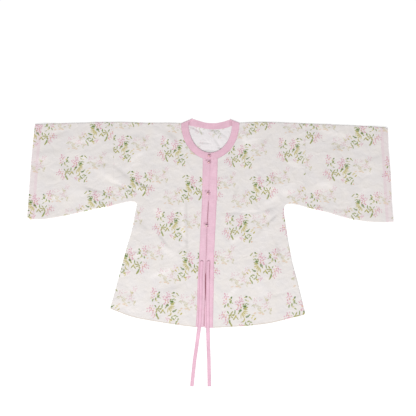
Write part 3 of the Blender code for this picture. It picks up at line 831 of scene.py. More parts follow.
@dataclass(frozen=True, kw_only=True)
class PrintedCloth(Finish):
    """Thin off-white cotton and linen in plain weave, printed on one side: matt and a little see-through."""

    group: bpy.types.NodeTree
    lay: GrainLay
    outside: bool
    cloth: str = "#F3EDE9"
    cool: str = "#EEE9E8"
    patch_size: float = 38.0
    inside: str = "#F8F3F4"
    through_facing: str = "#F1E7E7"
    through_facing_rim: str = "#EFDFE2"
    hem_edge_line: str = "#D6CBC0"
    roughness: float = 0.92
    sheen: float = 0.08
    gloss: float = 0.25
    thread_spacing: float = 0.9
    crumple_size: float = 24.0
    crumple_height: float = 1.6
    print_strength: float = 0.95
    inside_strength: float = 0.36

    def dress(self, tree: bpy.types.NodeTree, place: Source) -> dict[str, Source]:
        """The cloth, its print and its weave on one face of one panel.

        Args:
            tree: the material's tree.
            place: the place on the piece, in millimetres.

        Returns:
            A node for each of the shader's inputs that needs one.
        """
        patches = add_node(tree, "TexNoise", {
            "Vector": place, "Scale": 1.0 / self.patch_size, "Detail": 3.0, "Roughness": 0.55})
        patches = add_node(tree, "MapRange", {"Value": patches, "From Min": 0.34, "From Max": 0.66})
        cool, warm = (self.cool, self.cloth) if self.outside else (self.inside, self.inside)
        ground = add_node(tree, "Mix", {0: patches, 6: linear(cool), 7: linear(warm)}, data_type="RGBA")
        if self.outside:
            ground = self.over_facing(tree, ground)
        strength = self.print_strength if self.outside else self.inside_strength
        on_print = self.lay.place_on_print(tree, place, SprigPrint.repeat)
        printed = add_node(tree, "Group", {"Place": on_print, "Cloth": ground, "Strength": strength},
                           node_tree=self.group)
        # Painted shading: the cloth's colour is darkened in crease troughs as shade, and lightened a little
        # on ridges as light.
        painted_shading = add_node(tree, "Attribute", attribute_name="painted_shading").outputs["Fac"]
        shade = add_node(tree, "MapRange", {
            "Value": painted_shading, "From Min": -2.4, "From Max": 0.9, "To Min": 0.72, "To Max": 1.02})
        shaded = add_node(tree, "Mix", {0: 1.0, 6: printed, 7: shade},
                          data_type="RGBA", blend_type="MULTIPLY")
        return {"Base Color": shaded, "Normal": self.weave(tree, place)}

    def over_facing(self, tree: bpy.types.NodeTree, ground: Source) -> Source:
        """The pink facing as it shows through the cloth at the cuff, and a darker line along the hem's edge.

        Args:
            tree: the material's tree.
            ground: the cloth's own colour.

        Returns:
            The node with the colour.
        """
        cuff = add_node(tree, "Attribute", attribute_name="from_cuff").outputs["Fac"]
        pale = add_node(tree, "MapRange", {
            "Value": cuff, "From Min": FACING_DEPTH + 0.8, "From Max": FACING_DEPTH - 0.8})
        rim = add_node(tree, "MapRange", {"Value": cuff, "From Min": 13.0, "From Max": 16.0})
        rim = add_node(tree, "Math", {0: rim, 1: pale}, operation="MULTIPLY")
        # The colour is darker within a few millimetres of the hem's edge.
        hem = add_node(tree, "Attribute", attribute_name="from_hem").outputs["Fac"]
        fold = add_node(tree, "MapRange", {
            "Value": hem, "From Min": 1.0, "From Max": 4.6, "To Min": 0.85, "To Max": 0.0})
        layers = ((pale, self.through_facing), (rim, self.through_facing_rim), (fold, self.hem_edge_line))
        for share, colour in layers:
            ground = add_node(tree, "Mix", {0: share, 6: ground, 7: linear(colour)}, data_type="RGBA")
        return ground

    def weave(self, tree: bpy.types.NodeTree, place: Source) -> Source:
        """Threads, spaced wider than real ones so that they show at all, and small crumples, as bump.

        Args:
            tree: the material's tree.
            place: the place on the cloth, in millimetres.

        Returns:
            The node with the bumped normal.
        """
        warp, weft = (add_node(tree, "TexWave", {
            "Vector": place, "Scale": 0.314 / self.thread_spacing, "Distortion": 1.2, "Detail": 1.0,
            "Detail Scale": 0.4}, bands_direction=axis).outputs["Fac"] for axis in ("X", "Y"))
        crossed = add_node(tree, "Math", {0: warp, 1: weft}, operation="ADD")
        fine = add_node(tree, "Bump", {"Strength": 0.12, "Distance": 0.0001, "Height": crossed})
        soft = add_node(tree, "TexNoise", {"Vector": place, "Scale": 1.0 / self.crumple_size, "Detail": 3.0,
                                           "Roughness": 0.45, "Distortion": 0.8})
        ridges = add_node(tree, "TexNoise", {"Vector": place, "Scale": 0.6 / self.crumple_size, "Detail": 3.0,
                                             "Distortion": 1.2}, noise_type="RIDGED_MULTIFRACTAL")
        both = add_node(tree, "Math", {0: ridges, 1: 0.22, 2: soft}, operation="MULTIPLY_ADD")
        return add_node(tree, "Bump", {"Strength": 1.0, "Distance": self.crumple_height * MM, "Height": both,
                                       "Normal": fine})


@dataclass(frozen=True, kw_only=True)
class SlubWeave(Finish):
    """Pink cotton with thick and thin threads: short streaks along and across, and a faint sheen."""

    colour: str
    streak: str
    shade: str = "#94505F"
    roughness: float = 0.78
    sheen: float = 0.12
    gloss: float = 0.3
    streak_length: float = 16.0
    streak_width: float = 1.4

    def dress(self, tree: bpy.types.NodeTree, place: Source) -> dict[str, Source]:
        """The streaks, the shade in hollows and the threads as bump.

        Args:
            tree: the material's tree.
            place: the place on the piece, in millimetres.

        Returns:
            A node for each of the shader's inputs that needs one.
        """
        width, length = self.streak_width, self.streak_length
        streaks = []
        for stretch in ((width, length, 1.0), (length, width, 1.0)):
            squeezed = add_node(tree, "Mapping", {"Vector": place, "Scale": stretch}, vector_type="TEXTURE")
            streaks.append(add_node(tree, "TexNoise", {"Vector": squeezed, "Scale": 1.0, "Detail": 3.0}))
        both = add_node(tree, "Math", {0: streaks[0], 1: streaks[1]}, operation="ADD")
        share = add_node(tree, "MapRange", {"Value": both, "From Min": 0.7, "From Max": 1.3})
        toned = add_node(tree, "Mix", {0: share, 6: linear(self.streak), 7: linear(self.colour)},
                         data_type="RGBA")
        soft = add_node(tree, "TexNoise", {"Vector": place, "Scale": 0.03, "Detail": 2.0})
        soft = add_node(tree, "MapRange", {
            "Value": soft, "From Min": 0.3, "From Max": 0.7, "To Min": 0.95, "To Max": 1.04})
        toned = add_node(tree, "Mix", {0: 1.0, 6: toned, 7: soft}, data_type="RGBA", blend_type="MULTIPLY")
        # Painted shade: the colour goes towards the shade colour where the piece's attribute marks dimples,
        # edge lines, folds and gaps.
        painted_shading = add_node(tree, "Attribute", attribute_name="painted_shading").outputs["Fac"]
        depth = add_node(tree, "MapRange", {"Value": painted_shading, "From Min": 0.0, "From Max": -1.2})
        toned = add_node(tree, "Mix", {0: depth, 6: toned, 7: linear(self.shade)}, data_type="RGBA")
        bump = add_node(tree, "Bump", {"Strength": 0.35, "Distance": 0.0003, "Height": both})
        return {"Base Color": toned, "Normal": bump}


@dataclass(frozen=True, kw_only=True)
class Pearl(Finish):
    """Moulded plastic with a pearl coat: pale, glossy, with a soft pink and cream swirl."""

    base: str
    swirl: str
    roughness: float = 0.22
    coat: float = 0.6

    def dress(self, tree: bpy.types.NodeTree, place: Source) -> dict[str, Source]:
        """The swirl.

        Args:
            tree: the material's tree.
            place: the place on the piece, in millimetres.

        Returns:
            A node for each of the shader's inputs that needs one.
        """
        swirl = add_node(tree, "TexNoise", {"Vector": place, "Scale": 0.42, "Detail": 2.0, "Distortion": 1.5})
        return {"Base Color": add_node(tree, "Mix", {0: swirl, 6: linear(self.base), 7: linear(self.swirl)},
                                       data_type="RGBA")}


@dataclass(frozen=True, kw_only=True)
class Thread(Finish):
    """Spun sewing thread: matt, with a fine twist."""

    colour: str
    roughness: float = 0.85
    twist: float = 0.8
    shaded: tuple[float, ...] = (0.82, 0.78, 0.8, 1.0)

    def dress(self, tree: bpy.types.NodeTree, place: Source) -> dict[str, Source]:
        """The twist, in colour and as bump.

        Args:
            tree: the material's tree.
            place: the place on the piece, in millimetres.

        Returns:
            A node for each of the shader's inputs that needs one.
        """
        wave = add_node(tree, "TexWave", {"Vector": place, "Scale": 0.314 / self.twist, "Distortion": 0.5},
                        bands_direction="DIAGONAL").outputs["Fac"]
        light = linear(self.colour)
        dark = tuple(part * share for part, share in zip(light, self.shaded))
        mixed = add_node(tree, "Mix", {0: wave, 6: dark, 7: light}, data_type="RGBA")
        return {"Base Color": mixed,
                "Normal": add_node(tree, "Bump", {"Strength": 0.5, "Distance": 0.0002, "Height": wave})}


PINK = SlubWeave(colour="#F0C8D8", streak="#E6B8CA")
FACING_PINK = SlubWeave(colour="#DCA0B8", streak="#CC8BA6")
BAND_PINK = SlubWeave(colour="#F3CEDD", streak="#E9BED0")
TIE_PINK = SlubWeave(colour="#F4CADC", streak="#EABACF")


def smooth_object(name: str, bm: bmesh.types.BMesh, *materials: bpy.types.Material) -> bpy.types.Object:
    """A smooth object at the origin, from a finished shape.

    Args:
        name: the object's name.
        bm: its shape, which is freed.
        materials: its materials.

    Returns:
        The object.
    """
    mesh = bpy.data.meshes.new(name)
    bm.to_mesh(mesh)
    bm.free()
    mesh.shade_smooth()
    for material in materials:
        mesh.materials.append(material)
    piece = bpy.data.objects.new(name, mesh)
    bpy.context.scene.collection.objects.link(piece)
    return piece


def give_wall(piece: bpy.types.Object, wall: float, rounding: float = 0.0, sharp: float = 50.0) -> None:
    """Puts a wall round an object's sheet, with crisp edges where the wall ends.

    Args:
        piece: the object; a second material is the inner face's.
        wall: the wall's thickness.
        rounding: how far its cut edges are rounded.
        sharp: the least angle of a cut edge, in degrees.
    """
    thick = piece.modifiers.new("wall", "SOLIDIFY")
    thick.thickness = wall * MM
    thick.offset = 0.0
    thick.use_even_offset = True
    thick.material_offset = len(piece.data.materials) - 1
    if rounding:
        rounded = piece.modifiers.new("rounding", "BEVEL")
        rounded.width = rounding * MM
        rounded.segments = 3
        rounded.limit_method = "ANGLE"
        rounded.angle_limit = math.radians(sharp)
    evaluated = piece.evaluated_get(bpy.context.evaluated_depsgraph_get())
    solid = bpy.data.meshes.new_from_object(evaluated)
    piece.modifiers.clear()
    piece.data = solid
    solid.name = piece.name
    solid.set_sharp_from_angle(angle=math.radians(sharp))


def carried(piece: bpy.types.Object, slot: str, *nodes: str) -> bpy.types.Object:
    """Puts a piece on the garment's body, in place of solids.

    Args:
        piece: the piece.
        slot: not used.
        nodes: the solids that it stands for.

    Returns:
        The piece.
    """
    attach(piece, BODY)
    if nodes:
        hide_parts(*nodes)
    log.info("%s: %d points", piece.name, len(piece.data.vertices))
    return piece


@dataclass
class ClothPiece:
    """A thin shell of cloth: a flat outline that is cut into cells, turned under and given its folds."""

    wall: float
    cell: float = CELL
    bm: bmesh.types.BMesh = field(default_factory=bmesh.new)

    def layer(self, *runs: Run) -> list[bmesh.types.BMFace]:
        """A flat panel in even cells, with a narrow strip round it that can roll down.

        Args:
            runs: the outline's stretches; the joined ones are marked as seams.

        Returns:
            The panel's faces.
        """
        bm = self.bm
        verts = []
        joined = []
        for run in runs:
            for point in run.points:
                if not verts or (verts[-1].co.xy - Vector(point) * MM).length > 0.01 * MM:
                    verts.append(bm.verts.new((point.x * MM, point.y * MM, 0.0)))
                    joined.append(run.joined)
                else:
                    joined[-1] = run.joined
        face = bm.faces.new(verts)
        for i, vert in enumerate(verts):
            bm.edges.get((vert, verts[(i + 1) % len(verts)])).seam = joined[i]
        strip = bmesh.ops.inset_region(bm, faces=[face], thickness=EDGE_ROLL_WIDTH * MM, use_even_offset=True)
        return self.cut_into_cells([face, *strip["faces"]])

    def cut_into_cells(self, faces: list[bmesh.types.BMFace]) -> list[bmesh.types.BMFace]:
        """Even cuts across a panel both ways.

        Args:
            faces: the panel's faces.

        Returns:
            Its faces after the cuts.
        """
        for axis in (Vector((1, 0, 0)), Vector((0, 1, 0))):
            verts = {vert for face in faces for vert in face.verts}
            places = [vert.co.dot(axis) / MM for vert in verts]
            first, last = math.ceil(min(places) / self.cell), math.floor(max(places) / self.cell)
            waiting = sorted(faces, key=lambda face: min(vert.co.dot(axis) for vert in face.verts))
            done = []
            for number in range(first, last + 1):
                limit = number * self.cell * MM
                edges = {edge for face in waiting for edge in face.edges}
                points = {vert for face in waiting for vert in face.verts}
                cut = bmesh.ops.bisect_plane(self.bm, geom=[*points, *edges, *waiting], dist=0.15 * MM,
                                             plane_co=axis * limit, plane_no=axis)
                kept = [face for face in cut["geom"] if isinstance(face, bmesh.types.BMFace)]
                waiting = []
                for face in kept:
                    low = face.calc_center_median().dot(axis) < limit
                    (done if low else waiting).append(face)
            faces = done + waiting
        return faces

    def chain_from(self, start: Point) -> list[bmesh.types.BMVert]:
        """The points along a joined stretch, in order, from its end nearest a place.

        Args:
            start: the place.

        Returns:
            The chain of points.
        """
        links: dict[bmesh.types.BMVert, list[bmesh.types.BMVert]] = {}
        for edge in self.bm.edges:
            if edge.seam and edge.is_boundary:
                for vert in edge.verts:
                    links.setdefault(vert, []).append(edge.other_vert(vert))
        place = Vector(start) * MM
        ends = (vert for vert in links if len(links[vert]) == 1)
        chain = [min(ends, key=lambda vert: (vert.co.xy - place).length)]
        while ahead := [vert for vert in links[chain[-1]] if vert not in chain[-2:]]:
            chain.append(ahead[0])
        return chain

    def turn_under(self, start: Point, low: float) -> list[bmesh.types.BMVert]:
        """A half-round turn from a joined stretch down to the layer below.

        Args:
            start: the end of the stretch that comes first.
            low: the height of the middle of the lower layer's wall.

        Returns:
            The lower layer's edge points.
        """
        chain = self.chain_from(start)
        flat = [vert.co.xy for vert in chain]
        half = len(chain) // 2
        centre = chain[half].link_faces[0].calc_center_median().xy
        runs = [after - before for before, after in zip([flat[0], *flat], [*flat[1:], flat[-1]])]
        outward = [Vector((run.y, -run.x)).normalized() for run in runs]
        if outward[half].dot(centre - flat[half]) > 0:
            outward = [-way for way in outward]
        above = chain
        for step in range(1, TURN_STEPS + 1):
            angle = math.pi * step / TURN_STEPS
            below = []
            for vert, point, way in zip(chain, flat, outward):
                radius = (vert.co.z - low * MM) / 2
                place = point + way * radius * math.sin(angle)
                below.append(self.bm.verts.new((*place, vert.co.z - radius * (1 - math.cos(angle)))))
            for i in range(len(chain) - 1):
                self.bm.faces.new((above[i], above[i + 1], below[i + 1], below[i]))
            above = below
        return above

    def lift(self, faces: list[bmesh.types.BMFace], level: Heights,
             rolled: tuple[list[Point], ...] = ()) -> None:
        """Gives a panel its height and folds.

        Args:
            faces: the panel's faces.
            level: gives the height of the wall's middle at each x and y.
            rolled: the open edges that roll down a little.
        """
        verts = list({vert for face in faces for vert in face.verts})
        places = np.array([vert.co.xy for vert in verts]) / MM
        heights = np.zeros(len(places)) + level(places)
        for line in rolled:
            heights -= EDGE_ROLL_DEPTH * (distance_to(line, places) < 0.5)
        for vert, height in zip(verts, heights):
            vert.co.z = height * MM

    def open_edge(self, points: list[Point], level: float) -> list[bmesh.types.BMVert]:
        """Points along an open edge of a lower layer."""
        return [self.bm.verts.new((point.x * MM, point.y * MM, level * MM)) for point in points]

    def back_layer(self, verts: list[bmesh.types.BMVert], level: Heights,
                   near: Heights | None = None) -> None:
        """Closes the lower layer between the turned edges and its own open ones, and gives it its creases.

        Args:
            verts: the layer's outline.
            level: gives the height of the wall's middle at each x and y.
            near: tells whether each x and y is where the layer shows, so that it gets smaller cells.
        """
        self.cell = BACK_CELL
        faces = self.cut_into_cells([self.bm.faces.new(verts)])
        if near:
            shown = near(np.array([face.calc_center_median().xy for face in faces]) / MM)
            hidden = [face for face, seen in zip(faces, shown) if not seen]
            self.cell = BACK_CELL / 3
            faces = hidden + self.cut_into_cells([face for face, seen in zip(faces, shown) if seen])
        free = list({vert for face in faces for vert in face.verts} - set(verts))
        places = np.array([vert.co.xy for vert in free]) / MM
        for vert, height in zip(free, np.zeros(len(places)) + level(places)):
            vert.co.z = height * MM

    def finish(self, name: str, materials: list[bpy.types.Material], attributes: dict[str, Heights],
               rounding: float = 0.0) -> bpy.types.Object:
        """Makes the object, with its wall, its materials and its point attributes.

        Args:
            name: the object's name.
            materials: the outer face's material, and the inner face's if it has its own.
            attributes: for each attribute, what gives its value at each x, y and z.
            rounding: how far its cut edges are rounded.

        Returns:
            The object.
        """
        bm = self.bm
        bmesh.ops.recalc_face_normals(bm, faces=bm.faces)
        top = max(bm.faces, key=lambda face: face.calc_center_median().z * abs(face.normal.z) ** 4)
        if top.normal.z < 0:
            bmesh.ops.reverse_faces(bm, faces=bm.faces)
        piece = smooth_object(name, bm, *materials)
        mesh = piece.data
        points = np.zeros(len(mesh.vertices) * 3, np.float32)
        mesh.vertices.foreach_get("co", points)
        points = points.reshape(-1, 3).astype(float) / MM
        for key, value in attributes.items():
            values = value(points).astype(np.float32)
            mesh.attributes.new(key, "FLOAT", "POINT").data.foreach_set("value", values)
        give_wall(piece, self.wall, rounding)
        return piece


@dataclass
class Shell:
    """The printed cloth of one half, and the pink facing in its cuff.

    The shades are how much each kind of crease counts in the painted shading: shade painted into troughs, and
    a little light painted onto ridges.
    """

    cut: HalfCut
    print_group: bpy.types.NodeTree
    body_lay: GrainLay
    sleeve_lay: GrainLay
    back_lay: GrainLay = GrainLay(Point(-2, 431), Point(196, 0), Point(0, 255))
    wall: float = 0.5
    front_top: float = 3.1
    cuff_top: float = 5.1
    least_front: float = 1.5
    rise_start: float = 6.0
    rise_length: float = 60.0
    fine_at_cuff: float = 0.4
    uneven: float = 0.4
    neck_rise: float = 0.8
    neck_rise_at: Point = Point(0, 362)
    neck_rise_reach: Point = Point(60, 50)
    facing_top: float = 3.8
    facing_low: float = 1.3
    front_above: float = 1.4
    fine_shade: float = 1.35
    fold_shade: float = 0.4
    back_shade: float = 1.3

    @property
    def back_middle(self) -> float:
        """The height of the middle of the back's wall."""
        return self.wall / 2

    def calm(self, places: np.ndarray) -> np.ndarray:
        """0 over the cuff's facing and 1 from a little further in, where the front is lower and creased."""
        inward = self.cut.sign * (across(self.cut.cuff, places[:, 1]) - places[:, 0]) - FACING_DEPTH
        return soft_step(inward, self.rise_start, self.rise_length)

    def plain_level(self, places: np.ndarray) -> np.ndarray:
        """The height of the middle of the front's wall without its folds: higher over the facing."""
        return self.cuff_top - self.wall / 2 - (self.cuff_top - self.front_top) * self.calm(places)

    def crumple(self, x: float, y: float) -> float:
        """The slight wrinkles of cloth that was packed: soft swells, and small creases that run askew.

        Args:
            x: the place across.
            y: the place up.

        Returns:
            The lift there.
        """
        along, off = 0.94 * x + 0.34 * y, 0.94 * y - 0.34 * x
        swell = noise.noise(Vector((x * 0.016, y * 0.022, 1.7)))
        sharp = 1.0 - 2.0 * abs(noise.noise(Vector((along * 0.022, off * 0.075, 5.1))))
        cross = noise.noise(Vector((off * 0.03 + 7.0, along * 0.06, 9.3)))
        return self.uneven * (1.5 * swell + 0.8 * sharp + 0.6 * cross)

    def front_level(self, places: np.ndarray) -> np.ndarray:
        """The height of the middle of the front's wall, with its folds, creases and wrinkles.

        Args:
            places: x and y of each place.

        Returns:
            The heights.
        """
        calm = self.calm(places)
        fine = relief_of(FRONT_CREASES, places) + np.array([self.crumple(x, y) for x, y in places])
        fine *= self.fine_at_cuff + (1 - self.fine_at_cuff) * calm
        level = self.plain_level(places) + relief_of(LARGE_FOLDS, places) * calm + fine
        return np.maximum(level, self.least_front)

    def face(self, point: Point) -> float:
        """The height of the front's outer face at a place."""
        return self.front_level(np.array([point]))[0] + self.wall / 2

    def back_level(self, places: np.ndarray) -> np.ndarray:
        """The height of the middle of the back's wall, which rises at creases and inside the neck."""
        off = (places - np.array(self.neck_rise_at)) / np.array(self.neck_rise_reach)
        rise = self.neck_rise * bell(off[:, 0]) * bell(off[:, 1])
        return np.maximum(self.back_middle + rise + relief_of(BACK_CREASES, places), self.back_middle)

    def inset(self, point: Point) -> float:
        """How far inside the outline the turn begins, so that its outer face is on the outline."""
        return self.wall / 2 + (self.plain_level(np.array([point]))[0] - self.back_middle) / 2

    def painted_shading(self, points: np.ndarray) -> np.ndarray:
        """How deep in a trough, below zero, or high on a ridge each point is, for the painted shading: the
        material paints shade in troughs and a little light on ridges.
        """
        kinds = (FRONT_CREASES, LARGE_FOLDS, BACK_CREASES)
        fine, folds, back = (relief_of(creases, points[:, :2]) for creases in kinds)
        in_front = (points[:, 2] > self.front_above) & ~self.in_neck(points)
        return np.where(in_front, self.fine_shade * fine + self.fold_shade * folds, self.back_shade * back)

    def in_neck(self, places: np.ndarray) -> np.ndarray:
        """Whether each place is inside the neck, where the back shows."""
        return NECK_SEAM.share(places) < 1.0

    def printed_piece(self, sheet: ClothPiece, kind: str, lay: GrainLay) -> bpy.types.Object:
        """Finishes a panel's cloth with its printed face, its inner face and what their materials read.

        Args:
            sheet: the cloth.
            kind: the panel's kind.
            lay: how the print lies on it.

        Returns:
            The object.
        """
        name = f"printed_cotton_{kind}_{self.cut.name}"
        group = self.print_group
        outer = PrintedCloth(group=group, lay=lay, outside=True).material(name)
        inner = PrintedCloth(group=group, lay=self.back_lay, outside=False).material(f"{name}_inside")
        return sheet.finish(f"{kind}_cloth_{self.cut.name}", [outer, inner], {
            "painted_shading": self.painted_shading,
            "from_cuff": lambda points: distance_to(self.cut.cuff, points[:, :2]),
            "from_hem": lambda points: distance_to(self.cut.hem, points[:, :2]),
        })

    def body(self) -> bpy.types.Object:
        """Front and back of the half in one cloth, folded at the shoulder.

        Returns:
            The piece.
        """
        cut = self.cut
        sheet = ClothPiece(self.wall)
        armhole_x = cut.armhole_x - cut.sign * STITCHED_GAP / 2
        inward = cut.sign < 0
        top = moved_in([cut.neck_point.moved(x=cut.sign * STITCHED_GAP), *cut.shoulder], self.inset, inward)
        top[-1] = top[-1]._replace(x=armhole_x)
        lower = moved_in([*cut.underarm, *eased(cut.side_seam)], self.inset, inward)
        lower[0] = lower[0]._replace(x=armhole_x)
        band = [p.moved(x=cut.sign * STITCHED_GAP) for p in cut.band_seam]
        neck = NECK_SEAM.grown(STITCHED_GAP).arc(cut.sign, top[0])
        neck = [p for p in neck if abs(p.x) > abs(band[-1].x) + 4.0]
        hem = eased(cut.hem)[1:-1]
        front = sheet.layer(Run(top[:-1], True), Run(top[-1:]), Run(lower[:-1], True),
                            Run([lower[-1], *hem, *band, *neck[:-1]]))
        sheet.lift(front, self.front_level, (hem,))
        turned = [vert for line in (top, lower) for vert in sheet.turn_under(line[0], self.back_middle)]
        centre_x = CENTRE_BACK_X + cut.sign * STITCHED_GAP / 2
        seam = [p.moved(y=-SEAM_GAP) for p in eased(BACK_NECK_SEAM) if cut.sign * (p.x - centre_x) > 6.0]
        seam.sort(key=lambda p: abs(p.x))
        centre = path((centre_x, cut.hem[-1].y - 0.4), (centre_x, CENTRE_BACK_Y - SEAM_GAP))
        rest = [*hem, cut.hem[-1], *centre, *seam]
        sheet.back_layer([*turned, *sheet.open_edge(rest, self.back_middle)], self.back_level, self.in_neck)
        piece = self.printed_piece(sheet, "body", self.body_lay)
        return carried(piece, "printed_cloth", f"body_{cut.name}")

    def sleeve(self) -> bpy.types.Object:
        """The wide sleeve, folded along its top and sewn below.

        Returns:
            The piece.
        """
        cut = self.cut
        sheet = ClothPiece(self.wall)
        armhole_x = cut.armhole_x + cut.sign * STITCHED_GAP / 2
        lines = (cut.sleeve_top, cut.sleeve_under)
        top, under = (moved_in(list(line), self.inset, cut.sign < 0) for line in lines)
        top[0], under[-1] = top[0]._replace(x=armhole_x), under[-1]._replace(x=armhole_x)
        top[-1], under[0] = (p._replace(x=across(cut.cuff, p.y)) for p in (top[-1], under[0]))
        cuff = list(cut.cuff[1:-1])
        front = sheet.layer(Run(top[:-1], True), Run([top[-1], *cuff]), Run(under[:-1], True),
                            Run(under[-1:]))
        sheet.lift(front, self.front_level, ([top[-1], *cuff, under[0]],))
        above, below = (sheet.turn_under(line[0], self.back_middle) for line in (top, under))
        sheet.back_layer([*above, *sheet.open_edge(cuff, self.back_middle), *below], self.back_level)
        piece = self.printed_piece(sheet, "sleeve", self.sleeve_lay)
        return carried(piece, "printed_cloth", f"sleeve_{cut.name}")

    def facing(self) -> bpy.types.Object:
        """The pink band inside the cuff, all round.

        Returns:
            The piece.
        """
        cut = self.cut
        sheet = ClothPiece(self.wall)
        end_gap = self.inset(cut.cuff[0]) + 4.0
        rows = sorted((p.y for p in cut.cuff), reverse=True)
        high, low = rows[0] - end_gap, rows[-1] + end_gap
        edge = []
        for y in (high, *rows[1:-1], low):
            shows = cut.facing_shows * math.sin(math.pi * (high - y) / (high - low)) ** 2
            edge.append(Point(across(cut.cuff, y) + cut.sign * (shows - 0.6), y))
        inner = [p.moved(x=-cut.sign * FACING_DEPTH) for p in reversed(edge)]
        front = sheet.layer(Run(inner[-1:], True), Run(edge[:-1]), Run(edge[-1:], True), Run(inner[:-1]))
        sheet.lift(front, lambda places: self.facing_top - self.wall / 2)
        middle = self.facing_low + self.wall / 2
        top, under = (sheet.turn_under(start, middle) for start in (inner[-1], edge[-1]))
        rims = [sheet.open_edge(line[1:-1], middle) for line in (edge, inner)]
        sheet.back_layer([*top, *rims[0], *under, *rims[1]], lambda places: middle)
        piece = sheet.finish(f"facing_{cut.name}", [FACING_PINK.material(f"slub_facing_{cut.name}")], {})
        return carried(piece, "pink_facing", f"cuff_facing_{cut.name}")


class Pull(NamedTuple):
    """Dimples of one kind in the bands, shaped and also painted with shade: where, how deep, how far they
    reach, and how narrow they are.
    """

    places: tuple[Point, ...]
    depth: float
    reach: float
    narrow: float


@dataclass
class Trim:
    """The pink neck band, front bands and ties."""

    wall: float = 0.8
    collar_top: float = 3.2
    collar_rim_y: float = 430.5
    # Painted shade behind each fold of the collar, and a thin painted shade line along its seam on the front
    fold_shade: float = 0.55
    fold_at: Point = Point(NECK_FREE.half_width - 2.0, 427.0)
    fold_reach: Point = Point(3.2, 9.0)
    collar_seam_shade: float = 0.16
    band_top: float = 3.3
    rounding: float = 0.3
    band_reach: float = 27.0
    pulls: tuple[Pull, ...] = (Pull(PULLED_OPEN, 0.8, 2.5, 1.1), Pull(PULLED_IN, 0.75, 2.8, 1.2))
    pull_width: float = 0.45
    pull_reach: float = 2.4
    loose_y: float = 180.0
    slit: tuple[float, float] = (-66.0, -162.0)
    lap: float = 3.4
    lap_ends: tuple[float, ...] = (326.0, 304.0, 203.0, 94.0, -8.0, -62.0, -140.0, -183.0, -243.0)
    lap_level: float = 2.08
    lap_fall: float = 0.9
    tie_wall: float = 0.6
    tie_width: float = 11.5
    tie_top: float = 4.3
    tie_round: float = 5.0
    tie_arch: float = 0.4
    tie_ridge: float = 0.24
    tie_hem_y: float = -250.0
    tie_fall: float = 52.0
    tie_low: float = 0.05

    def collar(self) -> bpy.types.Object:
        """The neck band, which folds over at both shoulders and shows its inner face across the back.

        Returns:
            The piece.
        """
        sheet = ClothPiece(self.wall, cell=3.6)
        low, high = self.wall / 2, self.collar_top - self.wall / 2
        fronts = []
        edges = []
        for cut in (RIGHT, LEFT):
            start = across(FRONT_OPENING, COLLAR_FRONT_Y) + cut.sign * 0.5
            fold = moved_in([cut.neck_point, cut.neck_peak], lambda point: (low + high) / 2, cut.sign > 0)
            seam, free = NECK_SEAM.arc(cut.sign, fold[0]), NECK_FREE.arc(cut.sign, fold[1])
            seam[0], free[0] = (line[0]._replace(x=start) for line in (seam, free))
            rim = Point(cut.sign * (NECK_FREE.half_width - 0.4), self.collar_rim_y)
            fronts += sheet.layer(Run(seam[:-1]), Run(fold[:1], True), Run([fold[1], rim, *free[-2::-1]]))
            edges += [[p for p in seam[:-1] if abs(p.x) > self.band_reach], [*free[:-1], rim]]
        sheet.lift(fronts, lambda places: high + self.collar_waves(places), tuple(edges))
        right, left = (sheet.turn_under(cut.neck_point, low) for cut in (RIGHT, LEFT))
        over = sheet.open_edge(eased(BACK_NECK_FREE), low)
        under = sheet.open_edge(eased(BACK_NECK_SEAM)[::-1], low)
        sheet.back_layer([*right, *over, *reversed(left), *under], lambda places: low)
        piece = sheet.finish("collar_band", [PINK.material("slub_collar")], {"painted_shading": self.collar_painted_shade})
        return carried(piece, "pink_band", "collar")

    def collar_waves(self, places: np.ndarray) -> np.ndarray:
        """The slight ease of a band that is bent round a curve: low waves across it."""
        angle = np.arctan2(places[:, 0], NECK_CENTRE_Y - places[:, 1])
        return 0.1 * np.sin(17.0 * angle) + 0.07 * np.sin(31.0 * angle + 1.0)

    def collar_painted_shade(self, points: np.ndarray) -> np.ndarray:
        """The collar's painted shade: below zero behind where its front folds over, and in a thin line along
        its seam.
        """
        depth = np.zeros(len(points))
        for cut in (RIGHT, LEFT):
            off = points[:, :2] - np.array((cut.sign * self.fold_at.x, self.fold_at.y))
            depth -= self.fold_shade * bell(off[:, 0], self.fold_reach.x) * bell(off[:, 1], self.fold_reach.y)
        in_front = points[:, 2] > self.collar_top / 2
        seam = in_front & (np.abs(points[:, 0]) > self.band_reach)
        return depth * ~in_front - self.collar_seam_shade * bell(NECK_SEAM.share(points) - 1.0, 0.014) * seam

    def band(self, cut: HalfCut) -> bpy.types.Object:
        """The band down one front edge.

        Args:
            cut: the half that it is on.

        Returns:
            The piece.
        """
        sheet = ClothPiece(self.wall, cell=4.0)
        neck_y = NECK_CENTRE_Y - NECK_SEAM.depth - STITCHED_GAP
        rows = {cut.band_seam[0].y, neck_y, *(p.y for line in (FRONT_OPENING, GAPE) for p in line[1:-1])}
        rows |= {p.y + step for p in PULLED_OPEN for step in range(-6, 7) if p.y + step < neck_y}
        edge = [Point(across(FRONT_OPENING, y) + cut.sign * self.half_gap(y), y)
                for y in sorted(rows, reverse=True)]
        seam = list(cut.band_seam)
        tops = [Point(x, NECK_SEAM.low_at(x) - STITCHED_GAP)
                for x in (seam[-1].x, (seam[-1].x + edge[0].x) / 2)]
        front = sheet.layer(Run([*seam[:-1], *tops, *edge]))
        middle = self.band_top - self.wall / 2
        sheet.lift(front, lambda places: middle + self.band_waves(places), (edge, seam))
        if cut.side is Side.RIGHT:
            self.inner_layer(sheet)
        piece = sheet.finish(f"band_{cut.name}", [BAND_PINK.material(f"slub_band_{cut.name}")],
                             {"painted_shading": self.dimples_and_painted_shade}, rounding=self.rounding)
        return carried(piece, "pink_band", f"front_band_{cut.name}")

    def face(self, point: Point) -> float:
        """The height of a band's outer face at a place."""
        return self.band_top + self.band_waves(np.array([point]))[0]

